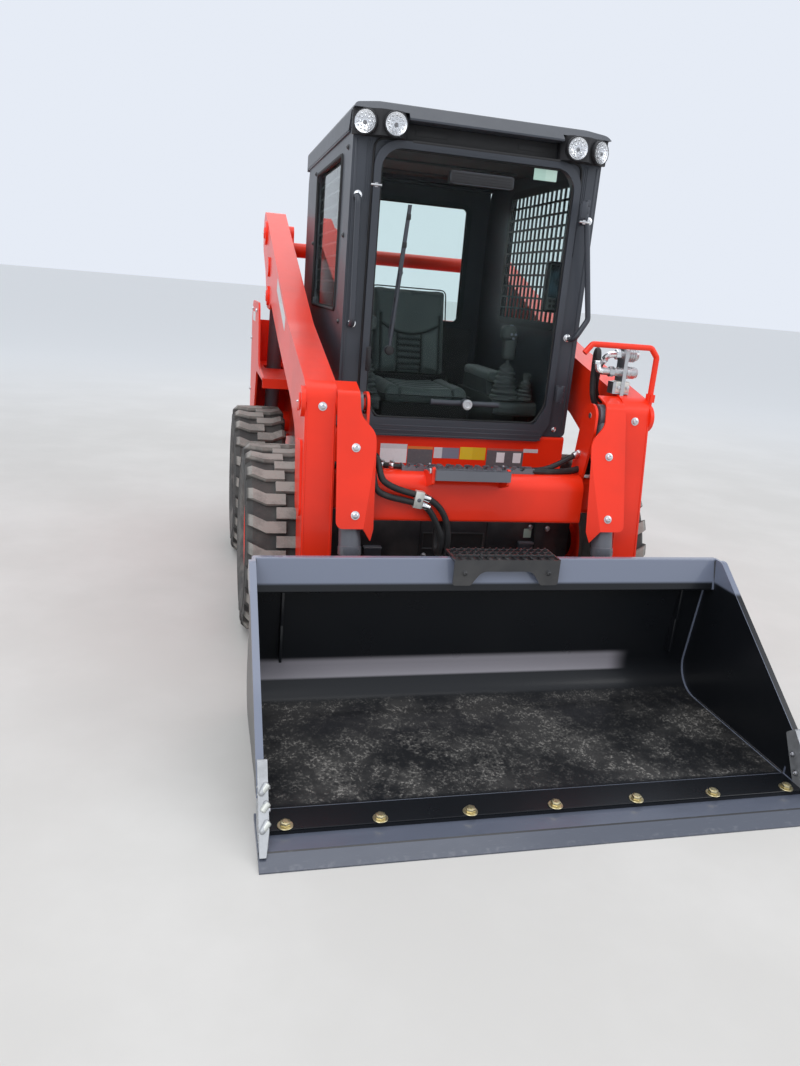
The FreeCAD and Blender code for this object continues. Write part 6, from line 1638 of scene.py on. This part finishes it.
class LOADER_OT_frame_fittings(bpy.types.Operator):
    """Bolts, covers and steps on the frame, the towers and the belly, and black sheets of painted shade on the tub's
    front flanks
    """
    bl_idname = "loader.frame_fittings"
    bl_label = "Frame fittings"

    def execute(self, context):
        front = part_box("belly_pan")[0].y

        def nose_panels_and_shade_sheets(bm):
            for x0, x1 in ((-0.396, -0.117), (-0.111, 0.178), (0.184, 0.396)):
                block(bm, (x0, front - 0.0024, 0.322), (x1, front + 0.0005, 0.520), 0.0012, 2)
            # painted shade: black sheets over the tub's red front flanks, which lie in shadow
            for x in SIDES:
                low, high = sorted((x * 0.3970, x * 0.5530))
                block(bm, (low, -0.3135, 0.214), (high, -0.2880, 0.690), 0.0012, 2)

        def nose_brackets(bm):
            for x0, x1, z0, z1 in ((-0.353, -0.281, 0.342, 0.405), (0.330, 0.394, 0.372, 0.430)):
                block(bm, (x0, front - 0.026, z0), (x1, front - 0.001, z1), 0.004, 2)

        def bracket_tops(bm):
            for x0, x1, z in ((-0.355, -0.279, 0.409), (0.328, 0.396, 0.434)):
                block(bm, (x0, front - 0.028, z - 0.005), (x1, front - 0.002, z + 0.003), 0.0015, 1)

        def nose_recess(bm):
            block(bm, (-0.098, front - 0.0032, 0.404), (0.164, front - 0.0020, 0.466), 0.0006, 1)

        def nose_rims(bm):
            ring = rounded_ring(-0.101, 0.167, 0.401, 0.469, 0.006)
            looped(bm, [(p, front - 0.0030, q) for p, q in ring], 0.0030)

        def nose_bolts(bm):
            for x, z in ((-0.091, 0.370), (-0.380, 0.500), (0.380, 0.500), (0.215, 0.350), (-0.215, 0.350)):
                dome_bolt(bm, (x, front - 0.0022, z), (0, -1, 0), 0.017)
            for x in (0.45, -0.45):
                for z in (0.36, 0.50):
                    dome_bolt(bm, (x, -0.3133, z), (0, -1, 0), 0.018)

        def nose_plate(bm):
            block(bm, (0.352, front - 0.0036, 0.452), (0.387, front - 0.0020, 0.492), 0.0004, 1)

        def case_covers(bm):
            for x in SIDES:
                for y in (0.20, 0.62):
                    a, b = sorted((x * 0.5045, x * 0.5095))
                    block(bm, (a, y - 0.110, 0.265), (b, y + 0.110, 0.420), 0.004, 2)
                    for dy in (-0.092, 0.092):
                        for z in (0.285, 0.400):
                            nut(bm, (x * 0.509, y + dy, z), (x, 0, 0), 0.014, 0.007)

        def tread_edge(bm):
            for x in SIDES:
                for i in range(10):
                    y = 0.070 + 0.052 * i
                    block(bm, (min(x * 0.4995, x * 0.5095), y, 0.600), (max(x * 0.4995, x * 0.5095), y + 0.030, 0.612), 0.002, 1)

        def tower_bolts(bm):
            for x in SIDES:
                for y, z in ((1.23, 1.27), (1.54, 1.27), (1.60, 1.10), (1.60, 0.80), (1.33, 0.62), (1.53, 0.62)):
                    dome_bolt(bm, (x * 0.717, y, z), (x, 0, 0), 0.020)

        def pin_plates(bm):
            for x in SIDES:
                at = Vector((x * 0.729, 1.389, 0.640))
                turned(bm, [(0.040, 0.0), (0.040, 0.005), (0.036, 0.007), (0.0, 0.007)], at, (x, 0, 0), 28)
                for turn in (0.5, 2.6, 4.7):
                    nut(bm, at + Vector((x * 0.006, 0.028 * math.cos(turn), 0.028 * math.sin(turn))), (x, 0, 0), 0.012, 0.006)

        def belly_bolts(bm):
            for y in (0.02, 0.36, 0.70, 1.04):
                for x in (-0.36, 0.36):
                    rod(bm, (x, y, 0.2055), (x, y, 0.1985), 0.010, sides=6, round_off=0.001)
            for x, y in ((-0.12, 0.52), (0.16, 0.90)):
                turned(bm, [(0.030, 0.0), (0.030, 0.003), (0.016, 0.004), (0.016, 0.009), (0.0, 0.009)], (x, y, 0.2055), (0, 0, -1), 24)

        piece("nose_panels_and_shade_sheets", nose_panels_and_shade_sheets, "step", "chassis")
        piece("nose_brackets", nose_brackets, "charcoal", "chassis")
        piece("bracket_tops", bracket_tops, "barrel", "chassis")
        piece("nose_recess", nose_recess, "rubber", "chassis")
        piece("nose_rims", nose_rims, "step", "chassis")
        piece("nose_plate", nose_plate, "mark_pale", "chassis")
        piece("nose_bolts", nose_bolts, "zinc", "chassis")
        piece("case_covers", case_covers, "frame_red", "chassis")
        piece("case_treads", tread_edge, "step", "chassis")
        piece("tower_bolts", tower_bolts, "zinc", "chassis")
        piece("lift_pin_plates", pin_plates, "frame_red", "chassis")
        piece("belly_bolts", belly_bolts, "zinc", "chassis")
        return {"FINISHED"}


class LOADER_OT_rear(bpy.types.Operator):
    """Grilles, handles and exhaust of the hood and the rear door"""
    bl_idname = "loader.rear"
    bl_label = "Hood and rear door"

    def execute(self, context):
        back = REAR_DOOR[1].y - 0.012

        def mesh(bm):
            for i in range(24):
                x = -0.345 + 0.030 * i
                rod(bm, (x, back - 0.020, 0.625), (x, back - 0.020, 1.120), 0.0016, sides=6)
            for i in range(17):
                z = 0.630 + 0.030 * i
                rod(bm, (-0.362, back - 0.0225, z), (0.362, back - 0.0225, z), 0.0016, sides=6)

        def gill_lips(bm):
            for i in range(11):
                z = 0.635 + 0.044 * i
                looped(bm, [(p, back, q) for p, q in rounded_ring(-0.370, 0.370, z, z + 0.026, 0.011)], 0.0022)

        def handle(bm):
            low = REAR_DOOR[1].y
            block(bm, (0.398, low - 0.003, 0.815), (0.446, low + 0.0, 0.885), 0.0012, 1)
            block(bm, (0.406, low - 0.008, 0.826), (0.438, low - 0.0005, 0.874), 0.003, 2)

        def press_lines(bm):
            for z in (0.520, 0.575):
                block(bm, (-0.400, back - 0.001, z - 0.006), (0.400, back + 0.004, z + 0.006), 0.003, 3)

        def hood_mesh(bm):
            top = HOOD[1].z - 0.012
            for i in range(16):
                for x0 in (-0.330, 0.090):
                    x = x0 + 0.008 + 0.015 * i
                    rod(bm, (x, 1.138, top), (x, 1.440, top), 0.0013, sides=6)

        def hood_handle(bm):
            top = HOOD[1].z
            routed(bm, [
                (-0.060, 1.475, top - 0.010), (-0.060, 1.475, top + 0.012), (-0.040, 1.475, top + 0.022),
                (0.040, 1.475, top + 0.022), (0.060, 1.475, top + 0.012), (0.060, 1.475, top - 0.010),
            ], 0.006)

        def exhaust(bm):
            at = Vector((0.330, 1.500, HOOD[1].z - 0.030))
            turned(bm, [
                (0.024, -0.010), (0.024, 0.050), (0.0265, 0.052), (0.0265, 0.060), (0.0215, 0.060), (0.0215, 0.006), (0.0, 0.004),
            ], at, (0, 0.35, 1), 28)

        def bumper_bolts(bm):
            for x in (-0.42, -0.22, 0.22, 0.42):
                dome_bolt(bm, (x, 1.708, 0.4272), (0, 0, 1), 0.020)

        def fins(bm):
            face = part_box("engine_block")[1].y
            for i in range(36):
                x = -0.360 + 0.0205 * i
                block(bm, (x - 0.002, face - 0.0005, 0.520), (x + 0.002, face + 0.0040, 1.120), 0.0)

        def tank_and_lines(bm):
            routed(bm, [
                (0.262, 1.180, 0.820), (0.310, 1.180, 0.830), (0.340, 1.240, 0.860),
                (0.340, 1.400, 0.880), (0.320, 1.520, 0.900), (0.300, 1.548, 0.900),
            ], 0.016)
            routed(bm, [
                (-0.262, 1.220, 0.700), (-0.320, 1.220, 0.700), (-0.350, 1.300, 0.720),
                (-0.350, 1.440, 0.760), (-0.320, 1.530, 0.780), (-0.300, 1.548, 0.780),
            ], 0.016)

        def engine_head(bm):
            block(bm, (-0.150, 1.150, 0.8995), (0.150, 1.450, 0.9090), 0.004, 2)
            for i in range(4):
                rod(bm, (-0.10 + 0.066 * i, 1.30, 0.905), (-0.10 + 0.066 * i, 1.30, 0.9095), 0.018, sides=20, round_off=0.001)

        piece("gill_mesh", mesh, "step", "rear_door")
        piece("gill_lips", gill_lips, "charcoal", "rear_door")
        piece("door_latch_rear", handle, "plastic", "rear_door")
        piece("rear_press_lines", press_lines, "charcoal", "rear_door")
        piece("hood_mesh", hood_mesh, "step", "hood")
        piece("hood_handle", hood_handle, "plastic", "hood")
        piece("exhaust_pipe", exhaust, "silver", "hood")
        piece("bumper_bolts", bumper_bolts, "zinc", "chassis")
        piece("cooler_fins", fins, "engine", "chassis")
        piece("coolant_hoses", tank_and_lines, "hose", "chassis")
        return {"FINISHED"}


class LOADER_OT_stage(bpy.types.Operator):
    """Pale floor, soft studio light and the camera"""
    bl_idname = "loader.stage"
    bl_label = "Studio"

    def execute(self, context):
        scene = context.scene
        scene.view_settings.view_transform = "Standard"
        self.floor(scene)
        self.lights(scene)
        self.sky(scene)
        self.camera(scene)
        return {"FINISHED"}

    def floor(self, scene):
        bm = bmesh.new()
        bmesh.ops.create_circle(bm, cap_ends=True, segments=64, radius=220.0)
        mesh = bpy.data.meshes.new("studio_floor")
        bm.to_mesh(mesh)
        bm.free()
        ground = Recipe("pale_floor")
        patch = ground.noise(1.1, 5.0, 0.6).above(0.35, 0.4)
        near = ground.blend((0.61, 0.59, 0.555), (0.67, 0.65, 0.615), patch)
        far = ground.reach((0.0, 0.0), "XY").above(3.0, 9.0)
        ground.colour(ground.blend(near, (0.90, 0.90, 0.88), far))
        ground.roughness(0.9)
        mesh.materials.append(ground.material)
        made = bpy.data.objects.new("studio_floor", mesh)
        scene.collection.objects.link(made)

    def lights(self, scene):
        rows = (
            ("key", (-3.5, -5.5, 6.5), (0.0, -0.3, 0.9), 5.0, 210.0),
            ("fill", (5.5, -4.0, 4.5), (0.0, 0.0, 0.9), 4.0, 90.0),
            ("back", (1.5, 6.5, 5.5), (0.0, 0.6, 1.2), 6.0, 90.0),
            ("top", (0.0, 0.0, 7.5), (0.0, 0.0, 0.0), 6.0, 130.0),
        )
        for name, at, aim, width, power in rows:
            lamp = bpy.data.lights.new(name, "AREA")
            lamp.shape = "SQUARE"
            lamp.size = width
            lamp.energy = power
            made = bpy.data.objects.new(name, lamp)
            made.location = at
            made.rotation_euler = (Vector(aim) - Vector(at)).to_track_quat("-Z", "Y").to_euler()
            scene.collection.objects.link(made)

    def sky(self, scene):
        world = bpy.data.worlds.new("pale_room")
        world.use_nodes = True
        tree = world.node_tree
        shade = next(n for n in tree.nodes if n.type == "BACKGROUND")
        shade.inputs["Color"].default_value = (0.86, 0.91, 1.0, 1.0)
        path = tree.nodes.new("ShaderNodeLightPath")
        seen = tree.nodes.new("ShaderNodeMath")
        seen.operation = "MAXIMUM"
        tree.links.new(path.outputs["Is Camera Ray"], seen.inputs[0])
        tree.links.new(path.outputs["Is Glossy Ray"], seen.inputs[1])
        through = tree.nodes.new("ShaderNodeMath")
        through.operation = "MAXIMUM"
        tree.links.new(seen.outputs[0], through.inputs[0])
        tree.links.new(path.outputs["Is Transmission Ray"], through.inputs[1])
        strength = tree.nodes.new("ShaderNodeMix")
        strength.data_type = "FLOAT"
        strength.inputs["A"].default_value = 0.82
        strength.inputs["B"].default_value = 0.92
        tree.links.new(through.outputs[0], strength.inputs["Factor"])
        tree.links.new(strength.outputs["Result"], shade.inputs["Strength"])
        scene.world = world

    def camera(self, scene):
        data = bpy.data.cameras.new("photo_view")
        data.lens = 27.54
        data.sensor_width = 36.0
        data.sensor_fit = "AUTO"
        data.clip_end = 500.0
        made = bpy.data.objects.new("photo_view", data)
        back = EYE_RIGHT.cross(EYE_UP)
        turn = Matrix((EYE_RIGHT, EYE_UP, back)).transposed().to_4x4()
        made.matrix_world = Matrix.Translation(EYE) @ turn
        scene.collection.objects.link(made)
        scene.camera = made


STEPS = (
    LOADER_OT_stage, LOADER_OT_finishes, LOADER_OT_bucket, LOADER_OT_boom, LOADER_OT_hoses,
    LOADER_OT_couplers, LOADER_OT_plates, LOADER_OT_lamps, LOADER_OT_cab, LOADER_OT_wheels,
    LOADER_OT_cylinders, LOADER_OT_interior, LOADER_OT_seat, LOADER_OT_frame_fittings, LOADER_OT_rear,
)


class LOADER_PT_panel(bpy.types.Panel):
    """Buttons for each group of pieces, and their sizes and colours"""
    bl_idname = "LOADER_PT_panel"
    bl_label = "Loader dressing"
    bl_space_type = "VIEW_3D"
    bl_region_type = "UI"
    bl_category = "Loader"

    def draw(self, context):
        layout = self.layout
        for group in (context.scene.loader_colours, context.scene.loader_sizes):
            box = layout.box()
            for name in group.__annotations__:
                box.prop(group, name)
        for step in STEPS:
            layout.operator(step.bl_idname)


CLASSES = (LoaderColours, LoaderSizes, *STEPS, LOADER_PT_panel)


def register():
    for each in CLASSES:
        bpy.utils.register_class(each)
    bpy.types.Scene.loader_colours = bpy.props.PointerProperty(type=LoaderColours)
    bpy.types.Scene.loader_sizes = bpy.props.PointerProperty(type=LoaderSizes)


def unregister():
    del bpy.types.Scene.loader_colours
    del bpy.types.Scene.loader_sizes
    for each in reversed(CLASSES):
        bpy.utils.unregister_class(each)


def main():
    register()
    for step in STEPS:
        group, name = step.bl_idname.split(".")
        getattr(getattr(bpy.ops, group), name)()


if __name__ == "__main__":
    main()
